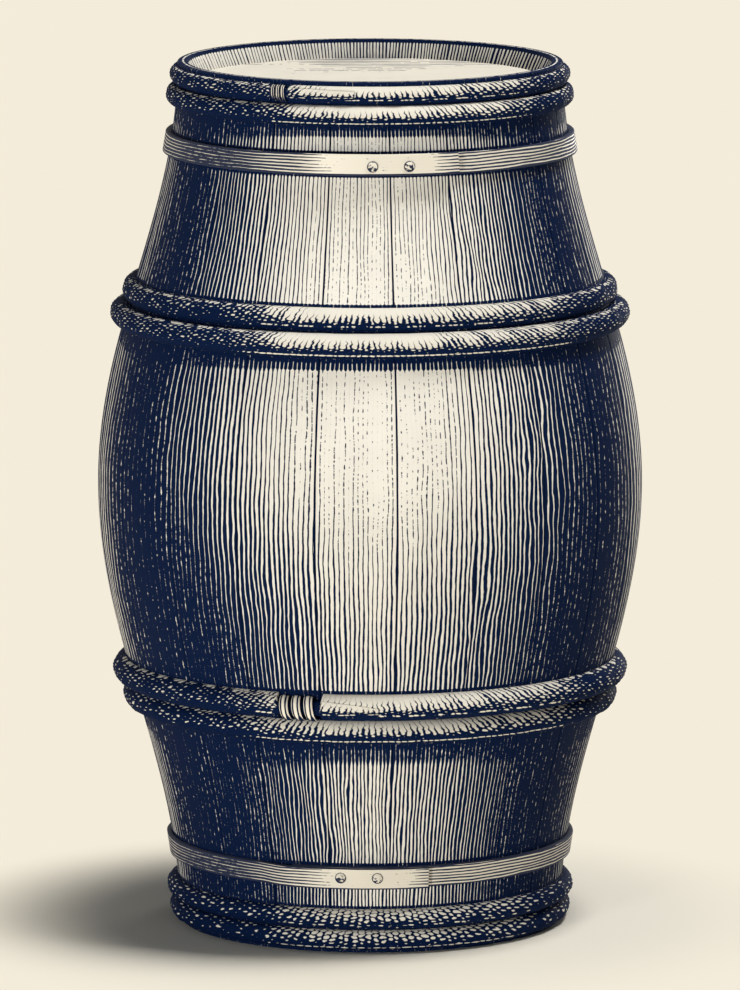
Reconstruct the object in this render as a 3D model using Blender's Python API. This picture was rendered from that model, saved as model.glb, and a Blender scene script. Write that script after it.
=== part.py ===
"""A wine cask standing on end: bulged oak staves, two recessed heads, eight bark-covered wooden
hoops lashed with osier, two riveted iron hoops and a wooden bung.

Metres, +Z up. The origin is the centre of the circle that the cask stands on. Azimuths are angles
round the cask, from the front (-Y) towards +X.
"""

import math
from collections import namedtuple

import bmesh
import bpy
from mathutils import Matrix, Vector

MM = 0.001

# Cask body
HEIGHT = 860 * MM
BILGE_RADIUS = 270 * MM
BILGE_HEIGHT = 440 * MM
END_RADIUS = 190 * MM
STAVE_COUNT = 21
STAVE_THICKNESS = 18 * MM
BUNG_STAVE_SHARE = 1.12
STAVE_WIDTH_SPREAD = 0.05
STATION_SPACING = 62 * MM
INNER_STATIONS = 9

# Stave ends: the lip, the chime slope inside it and the croze groove for the head
LIP_THICKNESS = 9 * MM
LIP_CHAMFER = 1.5 * MM
CROZE_DEPTH = 5 * MM

# Heads
HEAD_RECESS = 18 * MM
HEAD_THICKNESS = 18 * MM
TONGUE_THICKNESS = 6 * MM
HEAD_OUTER_SHOULDER = 3 * MM
HEAD_INNER_BEVEL = 16 * MM
HEAD_BOARDS = 4
DOWEL_RADIUS = 4 * MM
DOWEL_LENGTH = 40 * MM

# Wooden hoops, counted from each end of the cask towards the belly
TOP_LIP_MARGIN = 4 * MM
BOTTOM_LIP_MARGIN = 3 * MM
PAIR_GAP = 1 * MM
TOP_CHIME_HOOP_WIDTH = 17.5 * MM
TOP_CHIME_HOOP_THICKNESS = 7 * MM
TOP_HEAD_HOOP_WIDTH = 20.5 * MM
TOP_HEAD_HOOP_THICKNESS = 10 * MM
TOP_QUARTER_SETBACK = 214.5 * MM
TOP_QUARTER_HOOP_WIDTH = 23 * MM
TOP_QUARTER_HOOP_THICKNESS = 10 * MM
TOP_BILGE_HOOP_WIDTH = 25 * MM
TOP_BILGE_HOOP_THICKNESS = 15.5 * MM
BOTTOM_CHIME_HOOP_WIDTH = 20 * MM
BOTTOM_CHIME_HOOP_THICKNESS = 9 * MM
BOTTOM_HEAD_HOOP_WIDTH = 20.5 * MM
BOTTOM_HEAD_HOOP_THICKNESS = 11 * MM
BOTTOM_QUARTER_SETBACK = 216.5 * MM
BOTTOM_QUARTER_HOOP_WIDTH = 24 * MM
BOTTOM_QUARTER_HOOP_THICKNESS = 13 * MM
BOTTOM_BILGE_HOOP_WIDTH = 26.5 * MM
BOTTOM_BILGE_HOOP_THICKNESS = 16 * MM
HOOP_TIP = 1.5 * MM
HOOP_LAP = 150 * MM
SCARF_GAP = 0.4 * MM
WAIST_RAMP = 2 * MM

# Osier lashing round each wooden hoop's lap: as thick as a share of its hoop, and each turn's pitch
# as a multiple of its own thickness
OSIER_SHARE = 0.33
OSIER_PITCH_SHARE = 2.2
OSIER_TURNS = 3

# Iron hoops and their rivets
IRON_WIDTH = 21 * MM
TOP_IRON_THICKNESS = 6 * MM
BOTTOM_IRON_THICKNESS = 5 * MM
TOP_IRON_GAP = 26.5 * MM
BOTTOM_IRON_GAP = 23 * MM
IRON_LAP = 130 * MM
IRON_JOGGLE = 45 * MM
RIVET_SHANK_RADIUS = 3.5 * MM
RIVET_HEAD_RADIUS = 5.5 * MM
RIVET_HEAD_HEIGHT = 3 * MM
RIVET_SPACING = 34 * MM

# Bung
BUNG_RADIUS = 26 * MM
BUNG_PROUD = 8 * MM
BUNG_INSIDE = 8 * MM
BUNG_TAPER = math.radians(4)
BUNG_CHAMFER = 2 * MM

# Fits: the gap left between pieces that touch, and between the tongue's rim and its groove
SEAT = 0.3 * MM
TONGUE_END_PLAY = 1 * MM
BORE_SIDES = 24
HEAD_SIDES = 48
LASHING_ARC_STEPS = 8

Hoop = namedtuple("Hoop", "name low width thickness lap_azimuth")


def high(hoop):
    return hoop.low + hoop.width


def hoop_sets():
    """Wooden hoops and iron hoops, placed in a chain from each end of the cask."""
    top_chime_low = HEIGHT - TOP_LIP_MARGIN - TOP_CHIME_HOOP_WIDTH
    top_head_low = top_chime_low - PAIR_GAP - TOP_HEAD_HOOP_WIDTH
    top_iron_low = top_head_low - TOP_IRON_GAP - IRON_WIDTH
    top_quarter_low = HEIGHT - TOP_QUARTER_SETBACK - TOP_QUARTER_HOOP_WIDTH
    top_bilge_low = top_quarter_low - PAIR_GAP - TOP_BILGE_HOOP_WIDTH
    bottom_head_low = BOTTOM_LIP_MARGIN + BOTTOM_CHIME_HOOP_WIDTH + PAIR_GAP
    bottom_iron_low = bottom_head_low + BOTTOM_HEAD_HOOP_WIDTH + BOTTOM_IRON_GAP
    bottom_bilge_low = BOTTOM_QUARTER_SETBACK + BOTTOM_QUARTER_HOOP_WIDTH + PAIR_GAP
    wooden = (
        Hoop("top_chime", top_chime_low, TOP_CHIME_HOOP_WIDTH, TOP_CHIME_HOOP_THICKNESS, -27),
        Hoop("top_head", top_head_low, TOP_HEAD_HOOP_WIDTH, TOP_HEAD_HOOP_THICKNESS, 118),
        Hoop("top_quarter", top_quarter_low, TOP_QUARTER_HOOP_WIDTH,
             TOP_QUARTER_HOOP_THICKNESS, -122),
        Hoop("top_bilge", top_bilge_low, TOP_BILGE_HOOP_WIDTH, TOP_BILGE_HOOP_THICKNESS, 152),
        Hoop("bottom_bilge", bottom_bilge_low, BOTTOM_BILGE_HOOP_WIDTH, BOTTOM_BILGE_HOOP_THICKNESS, -16),
        Hoop("bottom_quarter", BOTTOM_QUARTER_SETBACK, BOTTOM_QUARTER_HOOP_WIDTH,
             BOTTOM_QUARTER_HOOP_THICKNESS, -150),
        Hoop("bottom_head", bottom_head_low, BOTTOM_HEAD_HOOP_WIDTH, BOTTOM_HEAD_HOOP_THICKNESS, 131),
        Hoop("bottom_chime", BOTTOM_LIP_MARGIN, BOTTOM_CHIME_HOOP_WIDTH,
             BOTTOM_CHIME_HOOP_THICKNESS, -112),
    )
    iron = (
        Hoop("top_iron", top_iron_low, IRON_WIDTH, TOP_IRON_THICKNESS, 5.6),
        Hoop("bottom_iron", bottom_iron_low, IRON_WIDTH, BOTTOM_IRON_THICKNESS, -3),
    )
    return wooden, iron


WOODEN_HOOPS, IRON_HOOPS = hoop_sets()


# Shape of the staves' outside

def curve_radius(z):
    """A half cosine wave on each side of the bilge: full at the bilge, nearly straight at the ends."""
    reach = HEIGHT - BILGE_HEIGHT if z > BILGE_HEIGHT else BILGE_HEIGHT
    share = min(abs(z - BILGE_HEIGHT) / reach, 1)
    return END_RADIUS + (BILGE_RADIUS - END_RADIUS) * (1 + math.cos(math.pi * share)) / 2


def outer_stations():
    """Heights of the corners in a stave's outside. It is straight under each hoop or pair of hoops."""
    by_height = sorted(WOODEN_HOOPS + IRON_HOOPS, key=lambda hoop: hoop.low)
    heights = [0]
    for first, last in ((0, 1), (2, 2), (3, 4), (5, 6), (7, 7), (8, 9)):
        bare = by_height[first].low - heights[-1]
        parts = math.ceil(bare / STATION_SPACING)
        start = by_height[first].low - bare
        heights += [start + bare * part / parts for part in range(1, parts + 1)]
        heights.append(high(by_height[last]))
    return heights + [HEIGHT]


STATIONS = outer_stations()


def skin_radius(z):
    """Radius of the staves' corners at a height, along the straight runs between stations."""
    for below, above in zip(STATIONS, STATIONS[1:]):
        if z <= above:
            share = (z - below) / (above - below)
            return curve_radius(below) * (1 - share) + curve_radius(above) * share
    return curve_radius(HEIGHT)


def wall_radius(z):
    return skin_radius(z) - STAVE_THICKNESS


# Staves round the cask

def stave_joints():
    """Azimuths of the joints between staves. The first stave is the bung stave, centred at the back."""
    shares = [BUNG_STAVE_SHARE]
    for number in range(1, STAVE_COUNT):
        shares.append(1 + STAVE_WIDTH_SPREAD * math.sin(2 * math.pi * number / STAVE_COUNT))
    turn = 2 * math.pi / sum(shares)
    joints = [math.pi - shares[0] * turn / 2]
    for share in shares:
        joints.append(joints[-1] + share * turn)
    return joints


JOINTS = stave_joints()
CORNERS = sorted(JOINTS[:-1] + [(a + b) / 2 for a, b in zip(JOINTS, JOINTS[1:])])


def facet_scale(azimuth):
    """How near the axis the flat facets pass at an azimuth, as a share of their corners' radius."""
    turns = math.floor((azimuth - CORNERS[0]) / (2 * math.pi))
    local = azimuth - 2 * math.pi * turns
    for low, top in zip(CORNERS, CORNERS[1:] + [CORNERS[0] + 2 * math.pi]):
        if low <= local <= top:
            return math.cos((top - low) / 2) / math.cos(local - (low + top) / 2)
    return 1.0


def at(azimuth, radius, z):
    return Vector((radius * math.sin(azimuth), -radius * math.cos(azimuth), z))


def outward(azimuth):
    """Turns local +Z to point out of the cask at an azimuth, and local +X along the hoops."""
    along = Vector((math.cos(azimuth), math.sin(azimuth), 0))
    out = Vector((math.sin(azimuth), -math.cos(azimuth), 0))
    return Matrix((along, out.cross(along), out)).transposed().to_4x4()


# Objects and materials

def material(name, colour, roughness, metallic=0.0):
    """A Principled material. The colour is an sRGB hex value."""
    made = bpy.data.materials.new(name)
    made.use_nodes = True
    shader = made.node_tree.nodes["Principled BSDF"]
    channels = [int(colour[i:i + 2], 16) / 255 for i in (0, 2, 4)]
    linear = [c / 12.92 if c <= 0.04045 else ((c + 0.055) / 1.055) ** 2.4 for c in channels]
    shader.inputs["Base Color"].default_value = (*linear, 1)
    shader.inputs["Roughness"].default_value = roughness
    shader.inputs["Metallic"].default_value = metallic
    return made


def add_object(name, data, finish, matrix=None):
    obj = bpy.data.objects.new(name, data)
    bpy.context.scene.collection.objects.link(obj)
    obj.data.materials.append(finish)
    if matrix is not None:
        obj.matrix_world = matrix
    return obj


def mesh_object(name, bm, finish, matrix=None, sharp=30):
    """Closes a bmesh into an object: faces point out, and only edges sharper than the angle stay hard."""
    bmesh.ops.recalc_face_normals(bm, faces=bm.faces[:])
    mesh = bpy.data.meshes.new(name)
    bm.to_mesh(mesh)
    bm.free()
    mesh.shade_smooth()
    mesh.set_sharp_from_angle(angle=math.radians(sharp))
    return add_object(name, mesh, finish, matrix)


def helper(obj):
    """A cutter or guide, which isn't a piece of the cask."""
    obj.hide_render = True
    obj.display_type = "WIRE"
    return obj


def boolean(obj, other, operation):
    modifier = obj.modifiers.new(other.name, "BOOLEAN")
    modifier.operation = operation
    modifier.object = other


def loft(rings):
    """A closed solid through rings of points, each ring joined to the next and both ends capped."""
    bm = bmesh.new()
    loops = [[bm.verts.new(point) for point in ring] for ring in rings]
    for first, second in zip(loops, loops[1:]):
        for i, vert in enumerate(first):
            j = (i + 1) % len(first)
            bm.faces.new((vert, first[j], second[j], second[i]))
    bm.faces.new(loops[0])
    bm.faces.new(loops[-1])
    return bm


def turned(profile, sides):
    """A solid turned round local Z from (radius, height) points, with a flat face at each end."""
    angles = [2 * math.pi * side / sides for side in range(sides)]
    return loft([[(radius * math.cos(a), radius * math.sin(a), z) for a in angles] for radius, z in profile])


# Staves

def croze_edges():
    """Distances from the cask's end to the two edges of the croze groove."""
    near = HEAD_RECESS + HEAD_OUTER_SHOULDER - SEAT
    return near, near + TONGUE_THICKNESS + 2 * SEAT


def stave_outline():
    """A stave's section along its length, as (radius, height) points."""
    outer = [(curve_radius(z), z) for z in STATIONS[1:-1]]
    bottom_lip = [(END_RADIUS - LIP_CHAMFER, 0), (END_RADIUS, LIP_CHAMFER)]
    top_lip = [(END_RADIUS, HEIGHT - LIP_CHAMFER), (END_RADIUS - LIP_CHAMFER, HEIGHT)]
    near, far = croze_edges()
    end = ((HEAD_RECESS, 0), (near, 0), (near, CROZE_DEPTH), (far, CROZE_DEPTH), (far, 0))
    top_end = [(END_RADIUS - LIP_THICKNESS, HEIGHT)]
    top_end += [(wall_radius(HEIGHT - setback) + cut, HEIGHT - setback) for setback, cut in end]
    bottom_end = [(wall_radius(setback) + cut, setback) for setback, cut in reversed(end)]
    bottom_end.append((END_RADIUS - LIP_THICKNESS, 0))
    inside = []
    for number in range(1, INNER_STATIONS + 1):
        z = HEIGHT - far - (HEIGHT - 2 * far) * number / (INNER_STATIONS + 1)
        inside.append((wall_radius(z), z))
    return bottom_lip + outer + top_lip + top_end + inside + bottom_end


def make_stave(name, outline, start, end, finish):
    """The outline spun through the stave's share of the turn, less half a seat on each side."""
    trim = SEAT / (BILGE_RADIUS + END_RADIUS)
    bm = bmesh.new()
    verts = [bm.verts.new(at(start + trim, radius, z)) for radius, z in outline]
    face = bm.faces.new(verts)
    bmesh.ops.spin(bm, geom=[face, *face.edges, *verts], cent=(0, 0, 0), axis=(0, 0, 1),
                   angle=end - start - 2 * trim, steps=2, use_duplicate=False)
    return mesh_object(name, bm, finish)


def make_staves(finish):
    outline = stave_outline()
    made = []
    for number, (start, end) in enumerate(zip(JOINTS, JOINTS[1:])):
        name = "bung_stave" if number == 0 else f"stave_{number:02d}"
        made.append(make_stave(name, outline, start, end, finish))
    return made


# Heads

def head_disc(name, outer_z, inward, finish):
    """A whole head, turned with a tongue round its rim. Boards are cut from it."""
    shoulder = outer_z + inward * HEAD_OUTER_SHOULDER
    below = shoulder + inward * TONGUE_THICKNESS
    inner_z = outer_z + inward * HEAD_THICKNESS
    rim = wall_radius(shoulder) + CROZE_DEPTH - TONGUE_END_PLAY
    neck = rim - CROZE_DEPTH
    profile = [(neck, outer_z), (neck, shoulder), (rim, shoulder),
               (rim, below), (neck, below), (neck - HEAD_INNER_BEVEL, inner_z)]
    return helper(mesh_object(name, turned(profile, HEAD_SIDES), finish))


def pin(radius, length):
    half = length / 2
    return turned([(radius, -half), (radius, half)], BORE_SIDES // 2)


def make_head(end, outer_z, inward, finish, dowel_finish):
    """Boards laid side by side along X, with one dowel in the middle of each joint."""
    disc = head_disc(f"{end}_head_disc", outer_z, inward, finish)
    middle_z = outer_z + inward * HEAD_THICKNESS / 2
    pitch = 2 * END_RADIUS / HEAD_BOARDS
    boards = []
    for number in range(HEAD_BOARDS):
        bm = bmesh.new()
        bmesh.ops.create_cube(bm, size=1)
        bmesh.ops.scale(bm, vec=(3 * END_RADIUS, pitch - SEAT, 2 * HEAD_THICKNESS), verts=bm.verts[:])
        y = (number + 0.5) * pitch - END_RADIUS
        bmesh.ops.translate(bm, vec=(0, y, middle_z), verts=bm.verts[:])
        board = mesh_object(f"{end}_head_board_{number + 1}", bm, finish)
        boolean(board, disc, "INTERSECT")
        boards.append(board)
    for number in range(1, HEAD_BOARDS):
        place = Matrix.Translation((0, number * pitch - END_RADIUS, middle_z))
        place = place @ Matrix.Rotation(math.radians(90), 4, "X")
        mesh_object(f"{end}_head_dowel_{number}", pin(DOWEL_RADIUS, DOWEL_LENGTH), dowel_finish, place)
        hole = pin(DOWEL_RADIUS + SEAT, DOWEL_LENGTH + 2 * SEAT)
        cutter = helper(mesh_object(f"{end}_dowel_hole_{number}", hole, finish, place))
        boolean(boards[number - 1], cutter, "DIFFERENCE")
        boolean(boards[number], cutter, "DIFFERENCE")


# Hoops: a strip's section is worked out in the plane of its azimuth, as offsets across the strip
# and out from the staves' facets

def hoop_point(hoop, azimuth, across, out):
    """A point on a hoop: across runs up its width from the middle, out is square to the staves."""
    rise = hoop.width
    run = skin_radius(high(hoop)) - skin_radius(hoop.low)
    length = math.hypot(rise, run)
    middle_radius = (skin_radius(high(hoop)) + skin_radius(hoop.low)) / 2
    radius = middle_radius + (across * run + out * rise) / length
    z = hoop.low + rise / 2 + (across * rise - out * run) / length
    return at(azimuth, radius * facet_scale(azimuth), z)


def crown(hoop, share):
    """Height of the rounded face of a split sapling, at a share of the half width."""
    return hoop.thickness * math.sqrt(max(0, 1 - share * share))


def split_section(hoop, azimuth, floor, ceiling, half_width):
    """The D-shaped section of a split sapling between a floor and a ceiling."""
    lowest = floor + HOOP_TIP / 2
    reach = math.sqrt(1 - min(lowest / hoop.thickness, 0.98) ** 2)
    ring = [(-reach, floor)]
    for share in (-0.8, -0.32, 0.32, 0.8):
        out = min(max(crown(hoop, share * reach), lowest), ceiling)
        ring.append((share * reach, out))
    ring.append((reach, floor))
    return [hoop_point(hoop, azimuth, share * half_width, SEAT + out) for share, out in ring]


def strip_azimuths(first, last, own):
    """Every stave corner between two azimuths, and the strip's own ones."""
    near = math.radians(0.1)
    found = list(own)
    for corner in CORNERS:
        azimuth = corner + 2 * math.pi * math.ceil((first - corner) / (2 * math.pi))
        while azimuth < last:
            if all(abs(azimuth - other) > near for other in own):
                found.append(azimuth)
            azimuth += 2 * math.pi
    return sorted(found)


def osier(hoop):
    return OSIER_SHARE * hoop.thickness


def osier_pitch(hoop):
    return OSIER_PITCH_SHARE * osier(hoop)


def waist_half_width(hoop):
    """Half the width of a hoop where it is notched for its lashing."""
    return hoop.width / 2 - osier(hoop)


def make_wooden_hoop(hoop, finish):
    """One split sapling bent round the cask, with its ends scarfed flush and waisted for the lashing."""
    radius = curve_radius(hoop.low + hoop.width / 2)
    lap = HOOP_LAP / radius
    start = math.radians(hoop.lap_azimuth) - lap / 2
    turn = 2 * math.pi
    butt = SEAT / radius
    ramp = WAIST_RAMP / radius
    waist = (OSIER_TURNS * osier_pitch(hoop) + osier(hoop)) / 2 / radius
    middle = start + lap / 2
    waist_marks = [middle - waist - ramp, middle - waist, middle + waist, middle + waist + ramp]
    own = [start + butt, *waist_marks, start + lap, start + lap + ramp]
    own += [start + turn - ramp, start + turn, *[mark + turn for mark in waist_marks]]
    own.append(start + turn + lap - butt)
    rings = []
    for azimuth in strip_azimuths(own[0], own[-1], own):
        outer_layer = azimuth > start + turn - ramp / 2
        local = azimuth - turn if azimuth > start + turn / 2 else azimuth
        waisted = waist_marks[1] - butt / 2 < local < waist_marks[2] + butt / 2
        floor = osier(hoop) + SEAT if waisted else 0
        half_width = waist_half_width(hoop) if waisted else hoop.width / 2
        ceiling = hoop.thickness
        scarf = floor + HOOP_TIP + (ceiling - floor - 2 * HOOP_TIP - SCARF_GAP) * (local - start) / lap
        if outer_layer:
            floor = scarf + SCARF_GAP
        elif azimuth < start + lap + ramp / 2:
            ceiling = scarf
        rings.append(split_section(hoop, azimuth, floor, ceiling, half_width))
    return mesh_object(f"{hoop.name}_hoop", loft(rings), finish, sharp=40)


def lashing_path(hoop):
    """Turns of osier round the waist, with both ends tucked between the hoop and the staves."""
    radius = curve_radius(hoop.low + hoop.width / 2)
    middle = math.radians(hoop.lap_azimuth)
    clear = osier(hoop) / 2 + SEAT
    step = math.pi / LASHING_ARC_STEPS
    side = (waist_half_width(hoop) + clear) / math.cos(step / 2)
    top = (hoop.thickness + clear) / math.cos(step / 2)
    under = osier(hoop) / 2
    corner = side * math.sqrt(1 - (under / top) ** 2)
    turn = [(0, under), (corner, under)]
    for part in range(1, LASHING_ARC_STEPS):
        turn.append((side * math.cos(step * part), top * math.sin(step * part)))
    turn.append((-corner, under))
    points = []
    for number in range(OSIER_TURNS * len(turn) + 1):
        across, out = turn[number % len(turn)]
        along = (number / len(turn) - OSIER_TURNS / 2) * osier_pitch(hoop)
        points.append(hoop_point(hoop, middle + along / radius, across, SEAT + out))
    return points, len(turn)


def least_gap(points, per_turn, diameter):
    """The least gap between a winding's turns, from points that are over half a turn apart."""
    spread = []
    for start, end in zip(points, points[1:]):
        spread += [start.lerp(end, part / 8) for part in range(8)]
    away = 8 * (per_turn // 2 + 1)
    return min((one - other).length for i, one in enumerate(spread) for other in spread[i + away:]) - diameter


def make_lashing(hoop, finish):
    points, per_turn = lashing_path(hoop)
    gap = least_gap(points, per_turn, osier(hoop))
    print(f"{hoop.name}_lashing: least gap to itself {gap / MM:.2f} mm")
    curve = bpy.data.curves.new(f"{hoop.name}_lashing", "CURVE")
    curve.dimensions = "3D"
    curve.bevel_depth = osier(hoop) / 2
    curve.bevel_resolution = 1
    curve.use_fill_caps = True
    spline = curve.splines.new("POLY")
    spline.points.add(len(points) - 1)
    for place, point in zip(spline.points, points):
        place.co = (*point, 1)
    return add_object(f"{hoop.name}_lashing", curve, finish)


def rivet_azimuths(hoop):
    half = RIVET_SPACING / 2 / curve_radius(hoop.low)
    middle = math.radians(hoop.lap_azimuth)
    return middle - half, middle + half


def make_iron_hoop(hoop, finish):
    """A flat bar bent round the cask: its end steps out over its start, and two holes take the rivets."""
    radius = curve_radius(hoop.low)
    lap = IRON_LAP / radius
    step = IRON_JOGGLE / radius
    start = math.radians(hoop.lap_azimuth) - lap / 2
    turn = 2 * math.pi
    own = [start, start + turn - step, start + turn - SEAT / radius, start + turn + lap]
    rings = []
    for azimuth in strip_azimuths(start, start + turn + lap, own):
        share = min(max((azimuth - own[1]) / (own[2] - own[1]), 0), 1)
        back = SEAT + share * (hoop.thickness + SEAT)
        face = back + hoop.thickness
        half = hoop.width / 2
        corners = ((-half, back), (half, back), (half, face), (-half, face))
        rings.append([hoop_point(hoop, azimuth, across, out) for across, out in corners])
    strap = mesh_object(f"{hoop.name}_hoop", loft(rings), finish)
    for number, azimuth in enumerate(rivet_azimuths(hoop), 1):
        hole = pin(RIVET_SHANK_RADIUS + SEAT, 8 * hoop.thickness)
        cutter = mesh_object(f"{hoop.name}_rivet_hole_{number}", hole, finish, rivet_frame(hoop, azimuth))
        boolean(strap, helper(cutter), "DIFFERENCE")
    return strap


def rivet_frame(hoop, azimuth):
    """Local origin on the staves' facet under a rivet, with local +Z square to the facet."""
    origin = hoop_point(hoop, azimuth, 0, 0)
    lean = math.atan2(skin_radius(high(hoop)) - skin_radius(hoop.low), hoop.width)
    facet_turn = facet_azimuth(azimuth)
    return Matrix.Translation(origin) @ outward(facet_turn) @ Matrix.Rotation(lean, 4, "X")


def facet_azimuth(azimuth):
    """Azimuth that the facet under a point faces."""
    local = azimuth - 2 * math.pi * math.floor((azimuth - CORNERS[0]) / (2 * math.pi))
    for low, top in zip(CORNERS, CORNERS[1:] + [CORNERS[0] + 2 * math.pi]):
        if low <= local <= top:
            return (low + top) / 2
    return azimuth


def make_rivets(hoop, finish):
    """Domed rivets through both layers of the lap, with their tails flush behind it."""
    under_head = 2 * hoop.thickness + 3 * SEAT
    profile = [(RIVET_SHANK_RADIUS, SEAT), (RIVET_SHANK_RADIUS, under_head)]
    for angle in (0, 30, 60):
        dome = math.radians(angle)
        top = under_head + RIVET_HEAD_HEIGHT * math.sin(dome)
        profile.append((RIVET_HEAD_RADIUS * math.cos(dome), top))
    for number, azimuth in enumerate(rivet_azimuths(hoop), 1):
        mesh_object(f"{hoop.name}_rivet_{number}", turned(profile, BORE_SIDES // 2), finish,
                    rivet_frame(hoop, azimuth))


# Bung and its hole

def bung_profile(outer_end, inner_end, clearance, chamfer):
    """A tapered plug along local Z, whose zero is on the bung stave's outside."""
    slope = math.tan(BUNG_TAPER)

    def cone(z):
        return BUNG_RADIUS + z * slope + clearance

    return [(cone(inner_end) - chamfer, inner_end), (cone(inner_end), inner_end + chamfer),
            (cone(outer_end), outer_end - chamfer), (cone(outer_end) - chamfer, outer_end)]


def make_bung(stave, finish):
    surface = skin_radius(BILGE_HEIGHT)
    place = Matrix.Translation(at(math.pi, surface, BILGE_HEIGHT)) @ outward(math.pi)
    inner_end = -STAVE_THICKNESS - BUNG_INSIDE
    plug = bung_profile(BUNG_PROUD, inner_end, 0, BUNG_CHAMFER)
    hole = bung_profile(2 * BUNG_PROUD, 2 * inner_end, SEAT, BUNG_CHAMFER)
    mesh_object("bung", turned(plug, BORE_SIDES), finish, place)
    cutter = mesh_object("bung_hole", turned(hole, BORE_SIDES), finish, place)
    boolean(stave, helper(cutter), "DIFFERENCE")


def build():
    for obj in list(bpy.data.objects):
        bpy.data.objects.remove(obj)
    oak = material("pale_oak", "F0E7D3", 0.6)
    head_oak = material("head_oak", "F3ECDA", 0.6)
    bark = material("chestnut_bark", "2A3A5C", 0.8)
    osier = material("peeled_osier", "E6DCC4", 0.55)
    iron = material("hoop_iron", "D8D2C4", 0.4, 0.7)
    poplar = material("bung_poplar", "D9CDB2", 0.65)
    staves = make_staves(oak)
    make_head("top", HEIGHT - HEAD_RECESS, -1, head_oak, osier)
    make_head("bottom", HEAD_RECESS, 1, head_oak, osier)
    for hoop in WOODEN_HOOPS:
        make_wooden_hoop(hoop, bark)
        make_lashing(hoop, osier)
    for hoop in IRON_HOOPS:
        make_iron_hoop(hoop, iron)
        make_rivets(hoop, iron)
    make_bung(staves[0], poplar)


build()
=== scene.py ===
# %% [markdown]
# # A wine cask, standing on end
#
# The cask is twenty-one bowed oak staves held by hoops, with a head let into each end. The picture it is
# made from is a print in two colours, cream paper and dark blue ink, so the cask gets bleached oak with
# blue-black grain and pale bark with blue-black cracks, and its shade and shadows are painted on in the same
# blue-black. Lengths are in metres and +Z is up.
# The measured parts come first as a frame, and each visible piece is then made again in fine detail at
# the same place.

import math

import bpy
import numpy as np
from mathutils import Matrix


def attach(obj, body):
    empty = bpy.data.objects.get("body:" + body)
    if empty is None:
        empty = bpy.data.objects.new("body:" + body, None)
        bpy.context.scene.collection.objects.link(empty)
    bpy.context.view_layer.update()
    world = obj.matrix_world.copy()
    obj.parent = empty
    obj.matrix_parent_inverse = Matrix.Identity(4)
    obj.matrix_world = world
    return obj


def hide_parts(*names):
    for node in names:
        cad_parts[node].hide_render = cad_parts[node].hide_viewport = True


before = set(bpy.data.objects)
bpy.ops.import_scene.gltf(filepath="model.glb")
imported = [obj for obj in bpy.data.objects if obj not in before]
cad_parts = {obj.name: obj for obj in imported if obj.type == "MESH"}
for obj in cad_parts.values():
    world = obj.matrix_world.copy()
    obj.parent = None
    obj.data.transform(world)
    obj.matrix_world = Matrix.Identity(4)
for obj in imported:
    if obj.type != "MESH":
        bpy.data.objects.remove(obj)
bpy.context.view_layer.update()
MM = 0.001

# %% [markdown]
# ## Camera
# The rim shows as an ellipse an eighth as tall as it is wide, and the foot as one a fifth as tall. An
# eye that looks down by nine degrees lies between the two. The sides of the cask hardly lean towards
# each other, which means a long lens from far away. The frame is 740 by 990 pixels, and one pixel
# covers about one millimetre of the cask.

# %% Camera
EYE_DISTANCE = 10.0
EYE_TILT = math.radians(9.1)
AIM_HEIGHT = 0.425
FRAME_HEIGHT = 0.984
SENSOR = 36  # in mm, along the frame's longer side


def aim(obj, place, target):
    """Puts an object at a place with its -Z axis towards a target and its +Y axis up."""
    away = np.subtract(place, target)
    flat = math.hypot(away[0], away[1])
    obj.location = place
    obj.rotation_euler = (math.atan2(flat, away[2]), 0, math.atan2(away[0], -away[1]))


camera = bpy.data.objects.new("camera", bpy.data.cameras.new("camera"))
bpy.context.scene.collection.objects.link(camera)
camera.data.sensor_width = SENSOR
camera.data.lens = SENSOR * EYE_DISTANCE / FRAME_HEIGHT
eye = (0, -EYE_DISTANCE * math.cos(EYE_TILT), AIM_HEIGHT + EYE_DISTANCE * math.sin(EYE_TILT))
aim(camera, eye, (0, 0, AIM_HEIGHT))
bpy.context.scene.camera = camera
bpy.context.scene.view_settings.view_transform = "Standard"
print("lens", round(camera.data.lens), "mm, eye at", [round(c, 2) for c in camera.location])

# %% [markdown]
# ## Colours and nodes
# The paper, the wood, the iron and the ink are given as sRGB hex values. Shaders work in linear light,
# so one function turns the one into the other. A second small function adds a shader node, fills its
# sockets with numbers or with other nodes' outputs, and hands back one output, so that a material
# reads as a list of steps.

# %% Colours and nodes
CREAM = "F4ECDA"
WOOD = "F2EDE2"
IRON = "E3DCCC"
INK = "061839"


def linear(colour):
    """sRGB hex to linear RGBA: the low end is a straight line, and the rest a power of 2.4."""
    channels = [int(colour[i:i + 2], 16) / 255 for i in (0, 2, 4)]
    return (*[c / 12.92 if c <= 0.04045 else ((c + 0.055) / 1.055) ** 2.4 for c in channels], 1)


def add(tree, kind, inputs=(), out=0, **settings):
    """Adds a node, sets its properties, and fills its inputs with constants or other nodes' outputs.
    The inputs are a list in the sockets' order, or a dictionary by name or number."""
    made = tree.nodes.new("ShaderNode" + kind)
    for name, value in settings.items():
        setattr(made, name, value)
    for key, value in inputs.items() if isinstance(inputs, dict) else enumerate(inputs):
        if isinstance(value, bpy.types.NodeSocket):
            tree.links.new(value, made.inputs[key])
        else:
            made.inputs[key].default_value = value
    return made.outputs[out] if made.outputs else made


def new_material(name):
    """An empty material and its node tree."""
    made = bpy.data.materials.new(name)
    made.use_nodes = True
    made.node_tree.nodes.clear()
    return made, made.node_tree


print("cream in linear light:", [round(c, 3) for c in linear(CREAM)])

# %% [markdown]
# ## Light
# A single sun would throw a hard shadow and leave one side black, so the light is soft: a dim bluish
# sky all round, which tints the shadows like ink, one broad lamp high up on the right, which throws the
# short shadow to the left, one low on the left, which lights the staves and hardly reaches the floor,
# and a weak one behind, for looks at the back. The camera sees an even cream in place of the sky.

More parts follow.
